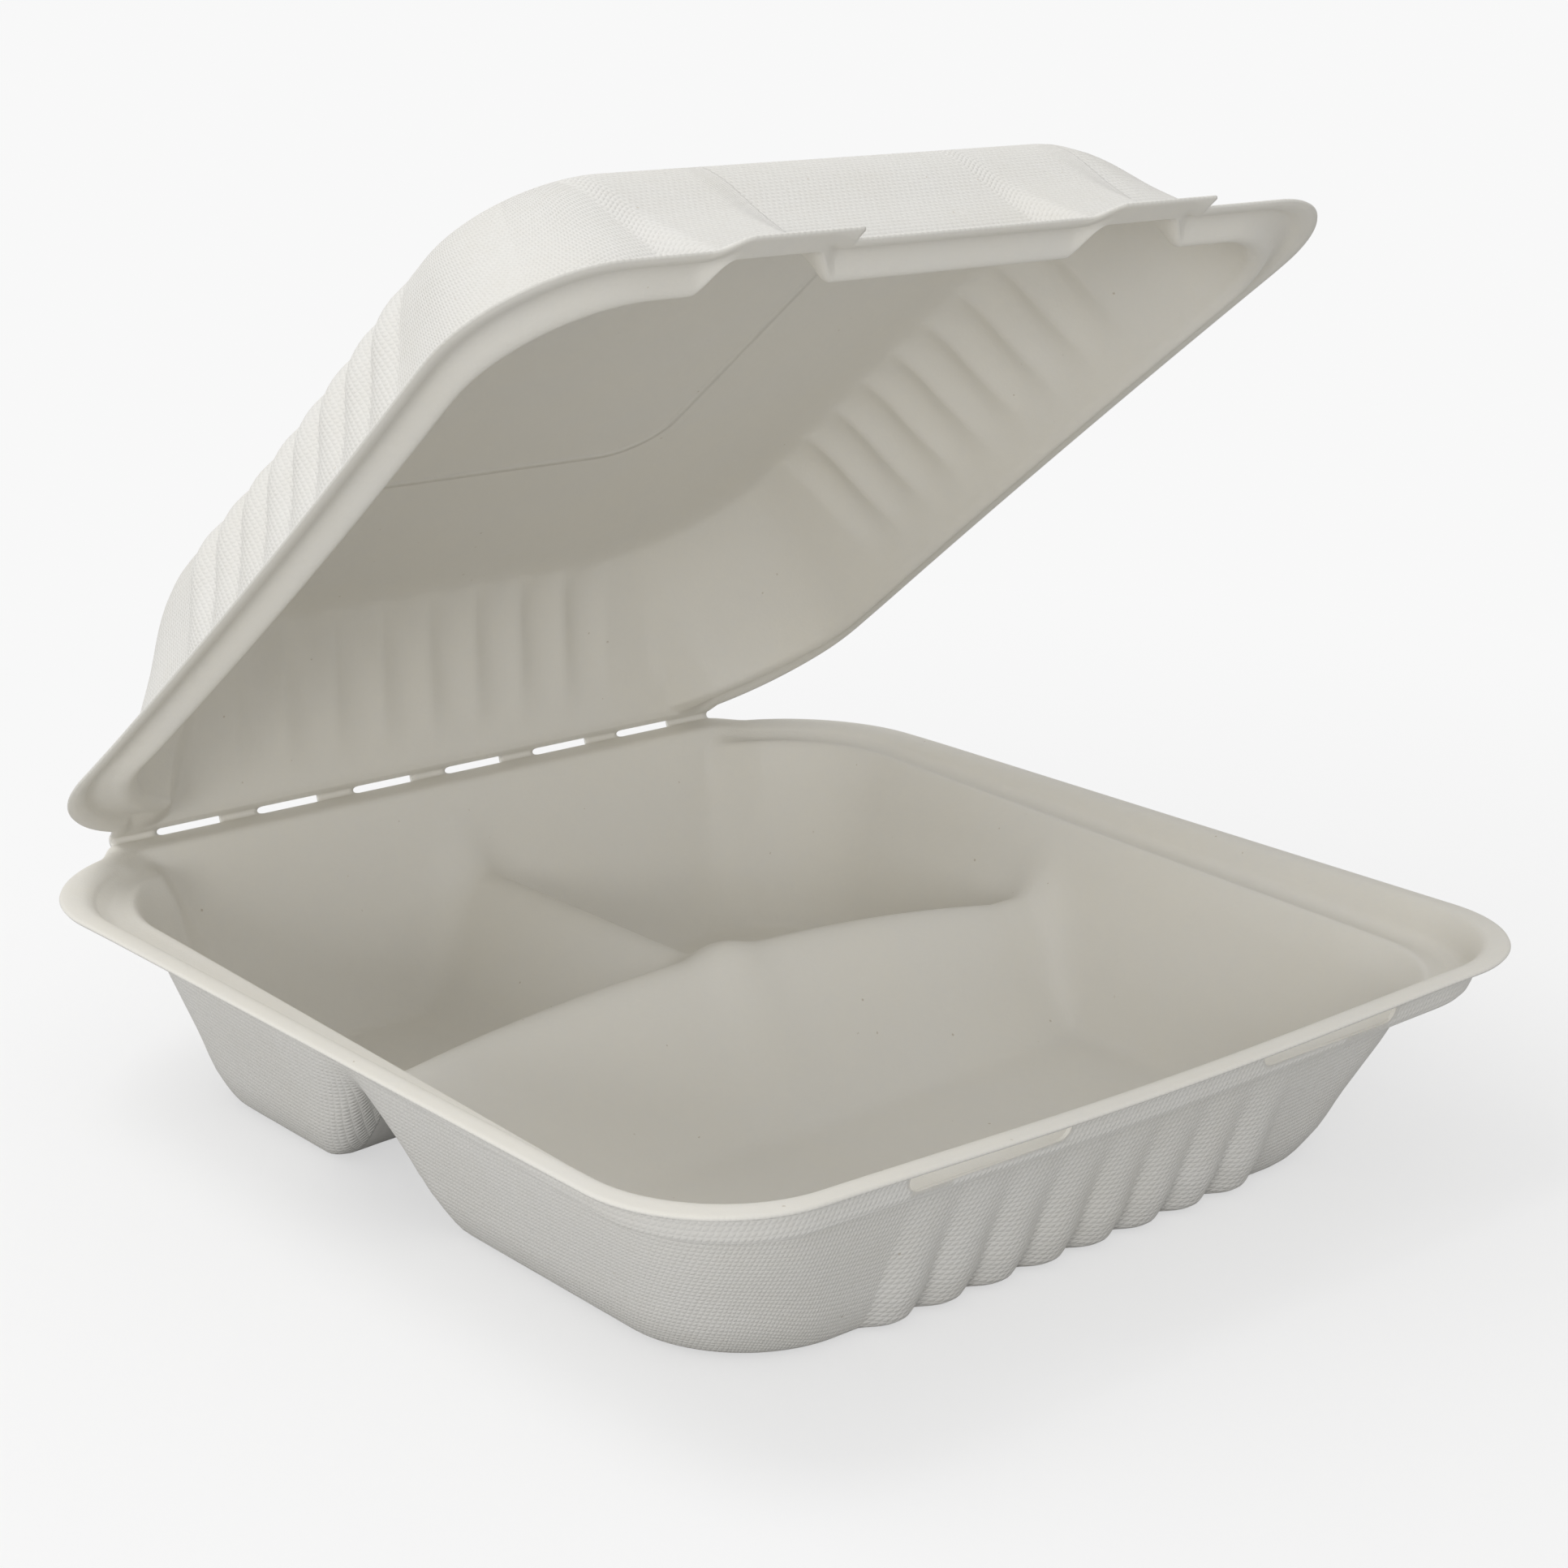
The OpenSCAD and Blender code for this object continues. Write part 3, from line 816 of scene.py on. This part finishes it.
@dataclass
class Lid:
    """Domed lid with a ribbed flange, three fluted walls and two tabs."""

    fold: Fold
    width: float = 213.4
    length: float = 232.3
    height: float = 35.0
    radii: tuple = (26.0, 41.0)
    lean: float = 15.2
    bow: float = 1.9
    bow_end: float = 30.0
    tab_x: tuple = (-45.3, 44.7)
    tab_length: float = 35.6
    tab_out: float = 3.7
    tab_sweep: float = 7.0
    tab_end: float = 4.0
    tab_cut: float = 0.4
    tab_soft: float = 7.0
    flute_depth: float = 2.7
    flute_count: int = 8
    back_pitch: float = 13.0
    side_pitch: float = 12.6
    side_shift: float = 6.0

    RIM = (
        (0.0, 0.0),
        (2.6, 0.0),
        (4.2, 1.2),
        (6.5, 0.3),
        (8.8, -2.0),
        (9.8, -2.2),
        (11.2, -1.0),
        (11.8, 1.5),
    )
    FOLD = ((1.0, 0.0), (1.6, 0.0), (2.4, 0.1), (3.2, 0.3), (3.8, 0.7), (4.4, 1.2), (5.0, 1.9), (5.6, 2.8))
    TAB = ((-3.7, 0.0), (-1.5, 0.0), (0.8, 0.0), (2.2, 0.0), (3.0, 0.2), (3.8, 0.7), (4.6, 1.4), (5.4, 2.4))
    DOME = ((0.5, 0.5), (0.955, 0.9), (1.1, 0.975), (1.3, 1.0))
    SPANS = (2, 3, 4, 4, 3, 3, 4, 8, 7, 4, 4)
    CAP = (0.93, 0.82, 0.66, 0.44, 0.2)

    def front_places(self) -> Grid:
        """Stations along the front, close together at the sweep and the end of each tab.

        Returns:
            Places from left to right.
        """
        rows = []
        for middle in self.tab_x:
            start, stop = middle - self.tab_length / 2, middle + self.tab_length / 2
            square = stop - self.tab_end
            swept, soft, cut = start + self.tab_sweep, square - self.tab_soft, square + self.tab_cut
            marks = (start, swept, soft, square, cut, stop)
            for lo, hi, count in zip(marks, marks[1:], (14, 12, 12, 5, 6)):
                rows.append(evenly(lo, hi, count)[:-1])
            rows.append(evenly(stop, stop + 0.1, 1)[:-1])
        half = self.tab_length / 2 + 4
        rows.insert(6, evenly(self.tab_x[0] + half, self.tab_x[1] - half, 14))
        return np.concatenate(rows)

    def tab_share(self, u: Grid, angle: Grid, depth: float) -> Grid:
        """Share of a tab, which swells out along a sweep and is cut square at its other end.

        The edge of the flange ends square; the groove behind it ends in a soft curve.

        Args:
            u: places along the front.
            angle: angles round the corner, which aren't needed here.
            depth: how far in the ring lies, 0 at the edge.

        Returns:
            Shares from 0 to 1.
        """
        share = np.zeros_like(u)
        run = self.tab_cut if depth == 0 else self.tab_soft
        for middle in self.tab_x:
            start, stop = middle - self.tab_length / 2, middle + self.tab_length / 2
            swell = ease((u - start) / self.tab_sweep)
            square = 1 - ease((u - (stop - self.tab_end) + run - self.tab_cut) / run)
            share = np.maximum(share, np.where(u > start, swell * square, 0.0))
        return share

    def fold_share(self, u: Grid, angle: Grid, depth: float) -> Grid:
        """Share of the fold, which ends at the necks with a notch at the edge.

        Args:
            u: places along the back, which aren't used here.
            angle: angles round the corner, in degrees.
            depth: how far in the ring lies, 0 at the edge.

        Returns:
            Shares from 0 to 1.
        """
        neck = math.degrees(math.asin((self.fold.length - self.width) / 2 / self.radii[1] + 1))
        run = mix(1.6, 11.0, ease(depth / 0.5))
        return 1 - ease((angle - neck - 0.8 + run / 2) / run)

    def outline(self) -> Outline:
        """Outline of the flange.

        Returns:
            The outline, with stations close together at the flutes and the tabs.
        """
        half_back = self.back_pitch * self.flute_count / 2
        half_side = self.side_pitch * self.flute_count / 2
        middle = -self.length / 2 - self.side_shift
        side = evenly(middle - half_side, middle + half_side, 11 * self.flute_count)
        fluted = flutes(self.side_pitch, self.flute_count, middle)
        return Outline(
            self.width,
            -self.length,
            0.0,
            front=Side(self.front_places(), 26, second=self.tab_share),
            right=Side(side, 36, flute=fluted),
            back=Side(
                evenly(-half_back, half_back, 11 * self.flute_count),
                46,
                second=self.fold_share,
                flute=flutes(self.back_pitch, self.flute_count, 0.0),
            ),
            left=Side(-side[::-1], 36, flute=lambda u: fluted(-u)),
        )

    def control(self, outline: Outline) -> Grid:
        """Control rings from the edge to the top.

        Args:
            outline: outline of the flange.

        Returns:
            The rings, level, with the fold on the X axis.
        """
        rings = []
        last = len(self.RIM) - 1
        dome_in = self.RIM[last][0]
        for k in range(last + 1 + len(self.DOME)):
            s, rise = (0.0, 0.0) if k <= last else self.DOME[k - last - 1]
            m = min(k, last)
            inset = self.RIM[m][0] if k <= last else dome_in + s * self.lean
            foot = min(s, 1.0)
            radii = [mix(r, r - 2, foot) for r in self.radii]
            xy, d, second, flute, short = outline.ring([inset] * 3, radii, k / last)
            front = d[:, 1] < 0
            other = np.where(front, self.TAB[m][0], self.FOLD[m][0])
            last_other = np.where(front, self.TAB[last][0], self.FOLD[last][0])
            fade = np.where(front, (1 - foot) ** 3, 1 - foot)
            shift = inset - other if k <= last else (dome_in - last_other) * fade
            fluted = self.flute_depth * min(ease(rise / 0.7), 0.73)
            fluted *= 0.0 if s > 1.2 else 0.5 if s > 1 else 1.0
            reach = self.length / 2 - inset - self.bow_end
            bowed = self.bow * np.maximum(0, 1 - ((xy[:, 1] + self.length / 2) / reach) ** 2)
            bow = np.where(d[:, 0] == 0, 0.0, bowed)
            xy = xy + d * ((shift + short * (1 - foot)) * second + fluted * flute - bow)[:, None]
            part = self.fold.parting(-xy[:, 1])
            low = self.RIM[m][1] * np.where(self.RIM[m][1] < 0, 1 - part / self.fold.lift / 2, 1.0)
            other_z = np.where(front, self.TAB[m][1], self.FOLD[m][1])
            z = mix(mix(low, other_z, second), self.height - SHEET, rise) + (1 - foot) * part
            rings.append(np.column_stack([xy, z]))
        return np.array(rings)

    def skin(self) -> Skin:
        """Surface of the lid, level, with its fold on the X axis.

        Returns:
            The lower face, closed at the middle of the top.
        """
        control = self.control(self.outline())
        rings = np.einsum("mk,knc->mnc", curve_weights(control, self.SPANS), control)
        last = rings[-1]
        centre = np.array([0.0, -self.length / 2, self.height - SHEET])
        cap = np.array([centre + (last - centre) * s for s in self.CAP])
        return Skin(np.concatenate([rings, cap]), None, Face.LOWER)

    def build(self) -> bpy.types.Object:
        """Makes the lid's piece.

        Returns:
            The piece, which rides on the lid.
        """
        mesh = SheetMesh(self.skin())
        placed = self.fold.place_lid(mesh.vertices)
        obj = make_object("lid_shell", placed, mesh.faces, *mesh.attributes())
        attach(obj, Body.LID.value)
        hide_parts("lid")
        return obj


# Webs across the fold.


@dataclass
class Webs:
    """Strips that are left between the perforations and bend round the fold."""

    fold: Fold
    across: int = 18
    along: int = 8
    pull: float = 1.15

    def edges(self) -> list:
        """Places of the webs along the fold.

        Returns:
            Start and end of each web, and whether a perforation lies at each of them.
        """
        middles = self.fold.slot_middles()
        half = self.fold.slot_length / 2
        neck = self.fold.length / 2
        ends = [-neck, *(m + s * half for m in middles for s in (-1, 1)), neck]
        return [(ends[i], ends[i + 1], i > 0, i + 2 < len(ends)) for i in range(0, len(ends), 2)]

    def section(self) -> tuple:
        """Section of the bend, a cubic from the tray to the lid.

        Returns:
            Its middle line and its outward normals.
        """
        f = self.fold
        a = math.radians(f.open_angle)
        reach = f.slot_width / 2 + f.gap
        tray_end = np.array([-reach, -f.lift - SHEET / 2])
        lid_end = np.array(
            [
                -reach * math.cos(a) + (f.lift + SHEET / 2) * math.sin(a),
                reach * math.sin(a) + (f.lift + SHEET / 2) * math.cos(a),
            ]
        )
        tray_pull = tray_end + np.array([self.pull, 0.0])
        lid_pull = lid_end + self.pull * np.array([math.cos(a), -math.sin(a)])
        t = np.linspace(0, 1, self.across + 1)[:, None]
        line = (
            (1 - t) ** 3 * tray_end
            + 3 * (1 - t) ** 2 * t * tray_pull
            + 3 * (1 - t) * t**2 * lid_pull
            + t**3 * lid_end
        )
        direction = unit(np.gradient(line, axis=0))
        return line, np.stack([direction[:, 1], -direction[:, 0]], axis=-1)

    def build(self) -> list:
        """Makes the webs, which bend between the tray and the lid.

        Returns:
            The pieces, from left to right.
        """
        line, outward = self.section()
        w = np.linspace(-1, 1, self.across + 1)
        radius = self.fold.slot_width / 2
        round_off = radius - np.sqrt(np.maximum(radius**2 - (w * radius) ** 2, 0))
        pieces = []
        for i, (x0, x1, slot0, slot1) in enumerate(self.edges()):
            flare0 = round_off if slot0 else 0 * w
            flare1 = round_off if slot1 else 0 * w
            lo, hi = x0 - flare0, x1 + flare1
            u = np.linspace(0, 1, self.along + 1)
            x = mix(lo[:, None], hi[:, None], u[None, :])
            layers = []
            for side in (0.5, -0.5):
                offset = line + outward * SHEET * side
                y = np.broadcast_to(offset[:, :1], x.shape)
                z = np.broadcast_to(offset[:, 1:], x.shape)
                layers.append(np.stack([x, y + self.fold.y, z + self.fold.z], axis=-1))
            pieces.append(self.web(f"fold_web_{i + 1}", *layers))
        log.info("fold webs: %d", len(pieces))
        return pieces

    def web(self, name: str, outer: Grid, inner: Grid) -> bpy.types.Object:
        """One web as a closed mesh.

        Args:
            name: name of the piece.
            outer: grid of points on its outer face.
            inner: grid of points on its inner face.

        Returns:
            The piece, which turns from the tray to the lid across the fold.
        """
        rows, cols = outer.shape[:2]
        index = np.arange(rows * cols).reshape(rows, cols)
        m = rows * cols
        corners = [index[:-1, :-1], index[:-1, 1:], index[1:, 1:], index[1:, :-1]]
        grid = np.stack(corners, axis=-1).reshape(-1, 4)

        def wall(line: Grid) -> Grid:
            """Quads between the two faces along a border."""
            a, b = line[:-1], line[1:]
            return np.stack([a, a + m, b + m, b], axis=-1)

        border = [wall(index[0]), wall(index[:, -1]), wall(index[-1][::-1]), wall(index[:, 0][::-1])]
        vertices = np.concatenate([outer.reshape(-1, 3), inner.reshape(-1, 3)])
        faces = np.concatenate([grid, grid[:, ::-1] + m, *border])
        obj = make_object(name, vertices, faces, {"flat": vertices})
        start, end = Vector(outer[0, 0] * MM), Vector(outer[-1, 0] * MM)
        start.x = end.x = 0.0
        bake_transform(obj, Body.TRAY.value, Body.LID.value, start=start, end=end)
        return obj


# Materials.


class Socket:
    """Output of a shader node that can be used in sums, products and comparisons."""

    def __init__(self, graph: "Graph", output: bpy.types.NodeSocket) -> None:
        """Keeps the output.

        Args:
            graph: node tree that the output is in.
            output: output of a node.
        """
        self.graph = graph
        self.output = output

    def _math(self, operation: str, *others: "Socket | float", swapped: bool = False) -> "Socket":
        """Adds a Math node.

        Args:
            operation: the node's operation.
            others: values beside this one.
            swapped: whether the values are fed in reverse order.

        Returns:
            The result.
        """
        values = [self, *others]
        if swapped:
            values.reverse()
        node = self.graph.node("ShaderNodeMath", *values, operation=operation)
        return Socket(self.graph, node.outputs[0])

    def __add__(self, other: "Socket | float") -> "Socket":
        """Sum."""
        return self._math("ADD", other)

    def __sub__(self, other: "Socket | float") -> "Socket":
        """Difference."""
        return self._math("SUBTRACT", other)

    def __mul__(self, other: "Socket | float") -> "Socket":
        """Product."""
        return self._math("MULTIPLY", other)

    def __truediv__(self, other: "Socket | float") -> "Socket":
        """Quotient."""
        return self._math("DIVIDE", other)

    def __rsub__(self, other: float) -> "Socket":
        """Difference from a number."""
        return self._math("SUBTRACT", other, swapped=True)

    def __rtruediv__(self, other: float) -> "Socket":
        """A number over the value."""
        return self._math("DIVIDE", other, swapped=True)

    __radd__ = __add__
    __rmul__ = __mul__

    def sine(self) -> "Socket":
        """Sine of the value."""
        return self._math("SINE")

    def size(self) -> "Socket":
        """Absolute value."""
        return self._math("ABSOLUTE")

    def power(self, exponent: float) -> "Socket":
        """Value to a power."""
        return self._math("POWER", exponent)

    def over(self, limit: float) -> "Socket":
        """The value, or the limit where it is lower."""
        return self._math("MAXIMUM", limit)

    def below(self, limit: float) -> "Socket":
        """1 where the value is below the limit, else 0."""
        return self._math("LESS_THAN", limit)

    def band(self, lo: float, hi: float) -> "Socket":
        """Smooth step of the value from 0 at lo to 1 at hi."""
        smooth = {"interpolation_type": "SMOOTHSTEP"}
        node = self.graph.node("ShaderNodeMapRange", self, lo, hi, 0.0, 1.0, **smooth)
        return Socket(self.graph, node.outputs[0])


class Graph:
    """Node tree of a material."""

    def __init__(self, name: str) -> None:
        """Makes a material of that name, with its own nodes."""
        self.material = bpy.data.materials.new(name)
        self.material.use_nodes = True
        self.tree = self.material.node_tree
        self.principled = self.tree.nodes["Principled BSDF"]

    def node(self, kind: str, *inputs: object, **settings: object) -> bpy.types.Node:
        """Makes a node, sets its options and feeds its inputs in order.

        Args:
            kind: type of the node.
            inputs: values or links of its first inputs.
            settings: options by name.

        Returns:
            The node.
        """
        node = self.tree.nodes.new(kind)
        for key, value in settings.items():
            setattr(node, key, value)
        for socket, value in zip(node.inputs, inputs):
            self.feed(socket, value)
        return node

    def feed(self, socket: bpy.types.NodeSocket, value: object) -> None:
        """Links an input to a value, or sets it.

        Args:
            socket: the input.
            value: a Socket, a number, a colour, or None to leave the input alone.
        """
        if isinstance(value, Socket):
            self.tree.links.new(value.output, socket)
        elif value is not None:
            socket.default_value = value

    def attribute(self, name: str) -> tuple:
        """Named attribute of the mesh: its value and its vector."""
        node = self.node("ShaderNodeAttribute", attribute_name=name)
        return Socket(self, node.outputs["Fac"]), Socket(self, node.outputs["Vector"])

    def split(self, vector: Socket) -> list:
        """Three parts of a vector."""
        node = self.node("ShaderNodeSeparateXYZ", vector)
        return [Socket(self, o) for o in node.outputs]

    def noise(self, vector: Socket, scale: float, detail: float = 2.0, roughness: float = 0.5) -> Socket:
        """Cloudy noise between 0 and 1.

        Args:
            vector: place on the piece.
            scale: how many features there are to a millimetre.
            detail: how many finer layers are added.
            roughness: how strong those are.

        Returns:
            The noise.
        """
        node = self.node("ShaderNodeTexNoise")
        values = {"Vector": vector, "Scale": scale, "Detail": detail, "Roughness": roughness}
        for key, value in values.items():
            self.feed(node.inputs[key], value)
        return Socket(self, node.outputs[0])

    def specks(self, vector: Socket, scale: float) -> Socket:
        """Distance to the nearest of scattered points.

        Args:
            vector: place on the piece.
            scale: how many points there are to a millimetre.

        Returns:
            The distance, in cells.
        """
        node = self.node("ShaderNodeTexVoronoi")
        self.feed(node.inputs["Vector"], vector)
        self.feed(node.inputs["Scale"], scale)
        return Socket(self, node.outputs["Distance"])

    def blend(self, share: Socket, a: object, b: object) -> Socket:
        """Colour between two colours.

        Args:
            share: 0 for the first, 1 for the second.
            a: first colour.
            b: second colour.

        Returns:
            The colour.
        """
        node = self.node("ShaderNodeMix", data_type="RGBA")
        for key, value in ((0, share), (6, a), (7, b)):
            self.feed(node.inputs[key], value)
        return Socket(self, node.outputs[2])

    def bump(self, height: Socket, distance: float, strength: float) -> Socket:
        """Normal of a relief.

        Args:
            height: height of the relief, as a share.
            distance: height of a full share, in metres.
            strength: how much of the relief is used.

        Returns:
            The normal.
        """
        node = self.node("ShaderNodeBump")
        for key, value in (("Strength", strength), ("Distance", distance), ("Height", height)):
            self.feed(node.inputs[key], value)
        return Socket(self, node.outputs[0])


@dataclass(frozen=True)
class Fibre:
    """Matte finish of pressed plant fibre: smooth inside, printed by the wire mould outside."""

    colour: tuple = (0.80, 0.788, 0.755, 1.0)
    shade: tuple = (0.775, 0.757, 0.71, 1.0)
    # Inner face colour, warmer than the outer one: painted warm bounce light, not a colour of the fibre
    # itself.
    inside: tuple = (0.79, 0.765, 0.70, 1.0)
    speck: tuple = (0.42, 0.34, 0.24, 1.0)
    roughness: float = 0.82
    wire: float = WIRE_PITCH
    row: float = ROW_PITCH
    relief: float = 0.00022
    crease: bool = False
    crease_right: float = 27.5
    crease_back: float = -88.0
    crease_radius: float = 13.0

    def tone(self, g: Graph, flat: Socket, outer: Socket) -> Socket:
        """Colour: cloudy, with the inner face warmer as painted warm bounce light, mottled fibre and a few
        dark specks.

        Args:
            g: node tree of the material.
            flat: place on the piece, in millimetres.
            outer: 1 on the outer face, 0 on the inner one.

        Returns:
            The colour.
        """
        clouds = g.noise(flat, 0.035, 4.0, 0.6)
        mottle = g.noise(flat, 0.45, 3.0, 0.65)
        share = clouds.band(0.3, 0.75) * 0.65 + mottle.band(0.4, 0.75) * 0.35
        # The inner face takes the warmer inside colour: painted warm bounce light.
        colour = g.blend(share, g.blend(outer, self.inside, self.colour), self.shade)
        fleck = g.specks(flat, 0.16).below(0.05) * g.noise(flat, 0.7).band(0.52, 0.6)
        return g.blend(fleck * 0.45, colour, self.speck)

    def wires(self, g: Graph, sheet: Socket, flat: Socket, level: Socket) -> Socket:
        """Relief of the wire mould, products of sines: dashes on the walls, a mesh on level parts.

        Args:
            g: node tree of the material.
            sheet: distances along and across the sheet.
            flat: place on the piece, in millimetres.
            level: 1 where the sheet lies level, less on its walls.

        Returns:
            The height, from 0 to 1.
        """
        along, across, _ = g.split(sheet)
        x, y, _ = g.split(flat)
        steep = 1 - level.band(0.8, 0.95)
        row = (across * (math.pi / self.row)).sine().size()
        dash = ((along + across * 0.5) * (math.pi / self.wire)).sine().size()
        one_way = ((x + y) * (math.pi / self.wire)).sine().size()
        other_way = ((x - y) * (math.pi / self.wire)).sine().size()
        return row * dash * steep + one_way * other_way * (1 - steep)

    def crease_line(self, g: Graph, flat: Socket) -> Socket:
        """Faint raised line on the lid's panel: two sides and the corner of a rounded rectangle.

        Args:
            g: node tree of the material.
            flat: place on the level lid, in millimetres.

        Returns:
            The height, from 0 to 1, which fades where the photograph doesn't show the line.
        """
        x, y, _ = g.split(flat)
        right = (x - (self.crease_right - self.crease_radius)).over(0.0)
        back = (y - (self.crease_back - self.crease_radius)).over(0.0)
        distance = ((right * right + back * back).power(0.5) - self.crease_radius).size()
        seen = x.band(-62.0, -38.0) * (1 - (0 - y).band(150.0, 172.0))
        return (1 - distance.band(0.2, 1.6)) * seen * (right + back).band(0.5, 1.0)

    def material(self, name: str) -> bpy.types.Material:
        """Makes the material.

        Args:
            name: name of the material.

        Returns:
            The material, with the attributes outer, level, flat and sheet of the meshes.
        """
        g = Graph(name)
        outer, _ = g.attribute("outer")
        level, _ = g.attribute("level")
        _, flat = g.attribute("flat")
        _, sheet = g.attribute("sheet")
        g.feed(g.principled.inputs["Base Color"], self.tone(g, flat, outer))
        g.principled.inputs["Roughness"].default_value = self.roughness
        g.principled.inputs["Specular IOR Level"].default_value = 0.25
        grain = g.noise(flat, 1.4, 4.0, 0.65) * 0.5 + g.noise(flat, 0.25, 2.0, 0.5) * 0.8
        height = grain + self.wires(g, sheet, flat, level) * outer * 1.2
        if self.crease:
            height = height + self.crease_line(g, flat) * (1 - outer) * 4.0
        g.feed(g.principled.inputs["Normal"], g.bump(height, self.relief, 0.6))
        return g.material


# Camera, light and floor.


@dataclass
class Studio:
    """Camera at the photograph's viewing angle, a pale floor and soft light."""

    camera_at: tuple = (-386.352, -456.587, 251.822)
    yaw: float = 40.763
    pitch: float = 16.745
    roll: float = 0.642
    focal: float = 69.908
    white: tuple = (0.94, 0.94, 0.94, 1.0)
    grey: tuple = (0.55, 0.55, 0.55, 1.0)
    lift: float = 0.6
    floor_half: float = 6.0
    ambient: float = 0.7
    key_at: tuple = (-0.45, 0.55, 1.45)
    key_power: float = 7.5
    side_at: tuple = (-1.25, -0.75, 0.32)
    side_power: float = 4.5

    def camera(self) -> bpy.types.Object:
        """Places the camera by its yaw, pitch and roll.

        Returns:
            The camera.
        """
        y, p, r = (math.radians(a) for a in (self.yaw, self.pitch, self.roll))
        forward = Vector((math.sin(y) * math.cos(p), math.cos(y) * math.cos(p), -math.sin(p)))
        right = Vector((math.cos(y), -math.sin(y), 0))
        up = right.cross(forward)
        right_r = math.cos(r) * right + math.sin(r) * up
        up_r = -math.sin(r) * right + math.cos(r) * up
        data = bpy.data.cameras.new("camera")
        data.sensor_width = 36.0
        data.lens = self.focal
        data.clip_start = 0.01
        obj = bpy.data.objects.new("camera", data)
        obj.matrix_world = Matrix.Translation(Vector(self.camera_at) * MM) @ Matrix(
            (right_r, up_r, -forward)
        ).transposed().to_4x4()
        bpy.context.scene.collection.objects.link(obj)
        bpy.context.scene.camera = obj
        return obj

    def floor(self) -> bpy.types.Object:
        """Pale floor that keeps a soft shadow round the container and runs out to the backdrop.

        The camera sees it as white as the backdrop. Other rays meet a greyer floor, so that the
        walls above it aren't lit as strongly from below.

        Returns:
            The floor.
        """
        mesh = bpy.data.meshes.new("floor")
        s = self.floor_half
        mesh.from_pydata([(-s, -s, 0), (s, -s, 0), (s, s, 0), (-s, s, 0)], [], [(0, 1, 2, 3)])
        obj = bpy.data.objects.new("floor", mesh)
        bpy.context.scene.collection.objects.link(obj)
        g = Graph("floor")
        path = g.node("ShaderNodeLightPath")
        camera = Socket(g, path.outputs["Is Camera Ray"])
        place = g.node("ShaderNodeTexCoord")
        x, y, _ = g.split(Socket(g, place.outputs["Object"]))
        far = (x * x + y * y).power(0.5).band(0.16, 0.5)
        g.feed(g.principled.inputs["Base Color"], g.blend(camera, self.grey, self.white))
        g.principled.inputs["Roughness"].default_value = 1.0
        g.principled.inputs["Specular IOR Level"].default_value = 0.0
        glow = g.node("ShaderNodeEmission", self.white, 1.0)
        share = (far * (1 - self.lift) + self.lift) * camera
        mixed = g.node("ShaderNodeMixShader", share)
        g.tree.links.new(g.principled.outputs[0], mixed.inputs[1])
        g.tree.links.new(glow.outputs[0], mixed.inputs[2])
        g.tree.links.new(mixed.outputs[0], g.tree.nodes["Material Output"].inputs["Surface"])
        mesh.materials.append(g.material)
        return obj

    def softbox(self, name: str, at: tuple, aim: tuple, size: float, power: float) -> bpy.types.Object:
        """Square area light.

        Args:
            name: name of the light.
            at: its place, in metres.
            aim: the point that it faces.
            size: length of its sides.
            power: its power in watts.

        Returns:
            The light.
        """
        data = bpy.data.lights.new(name, "AREA")
        data.shape = "SQUARE"
        data.size = size
        data.energy = power
        obj = bpy.data.objects.new(name, data)
        direction = Vector(aim) - Vector(at)
        turn = direction.to_track_quat("-Z", "Y").to_matrix().to_4x4()
        obj.matrix_world = Matrix.Translation(Vector(at)) @ turn
        bpy.context.scene.collection.objects.link(obj)
        return obj

    def world(self) -> bpy.types.World:
        """Even light from all round, seen by the camera as the plain backdrop.

        Returns:
            The world.
        """
        world = bpy.data.worlds.new("studio")
        world.use_nodes = True
        tree = world.node_tree
        light = tree.nodes["Background"]
        light.inputs["Color"].default_value = (1, 1, 1, 1)
        light.inputs["Strength"].default_value = self.ambient
        seen = tree.nodes.new("ShaderNodeBackground")
        seen.inputs["Color"].default_value = self.white
        path = tree.nodes.new("ShaderNodeLightPath")
        mixed = tree.nodes.new("ShaderNodeMixShader")
        tree.links.new(path.outputs["Is Camera Ray"], mixed.inputs[0])
        tree.links.new(light.outputs[0], mixed.inputs[1])
        tree.links.new(seen.outputs[0], mixed.inputs[2])
        tree.links.new(mixed.outputs[0], tree.nodes["World Output"].inputs["Surface"])
        bpy.context.scene.world = world
        return world

    def build(self) -> None:
        """Sets up the whole studio."""
        self.camera()
        self.floor()
        self.world()
        self.softbox("key_light", self.key_at, (0, 0, 0.08), 0.9, self.key_power)
        self.softbox("side_light", self.side_at, (0, 0, 0.1), 0.5, self.side_power)
        scene = bpy.context.scene
        scene.view_settings.view_transform = "Standard"
        log.info("studio: camera at %s mm", self.camera_at)


def main() -> None:
    """Builds the container and its studio."""
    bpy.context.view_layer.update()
    fold = Fold()
    tray, lid, webs = Tray(fold).build(), Lid(fold).build(), Webs(fold).build()
    tray_fibre = Fibre().material("tray_fibre")
    lid_fibre = Fibre(crease=True).material("lid_fibre")
    for piece in (tray, *webs):
        piece.data.materials.append(tray_fibre)
    lid.data.materials.append(lid_fibre)
    Studio().build()


if __name__ == "__main__":
    main()
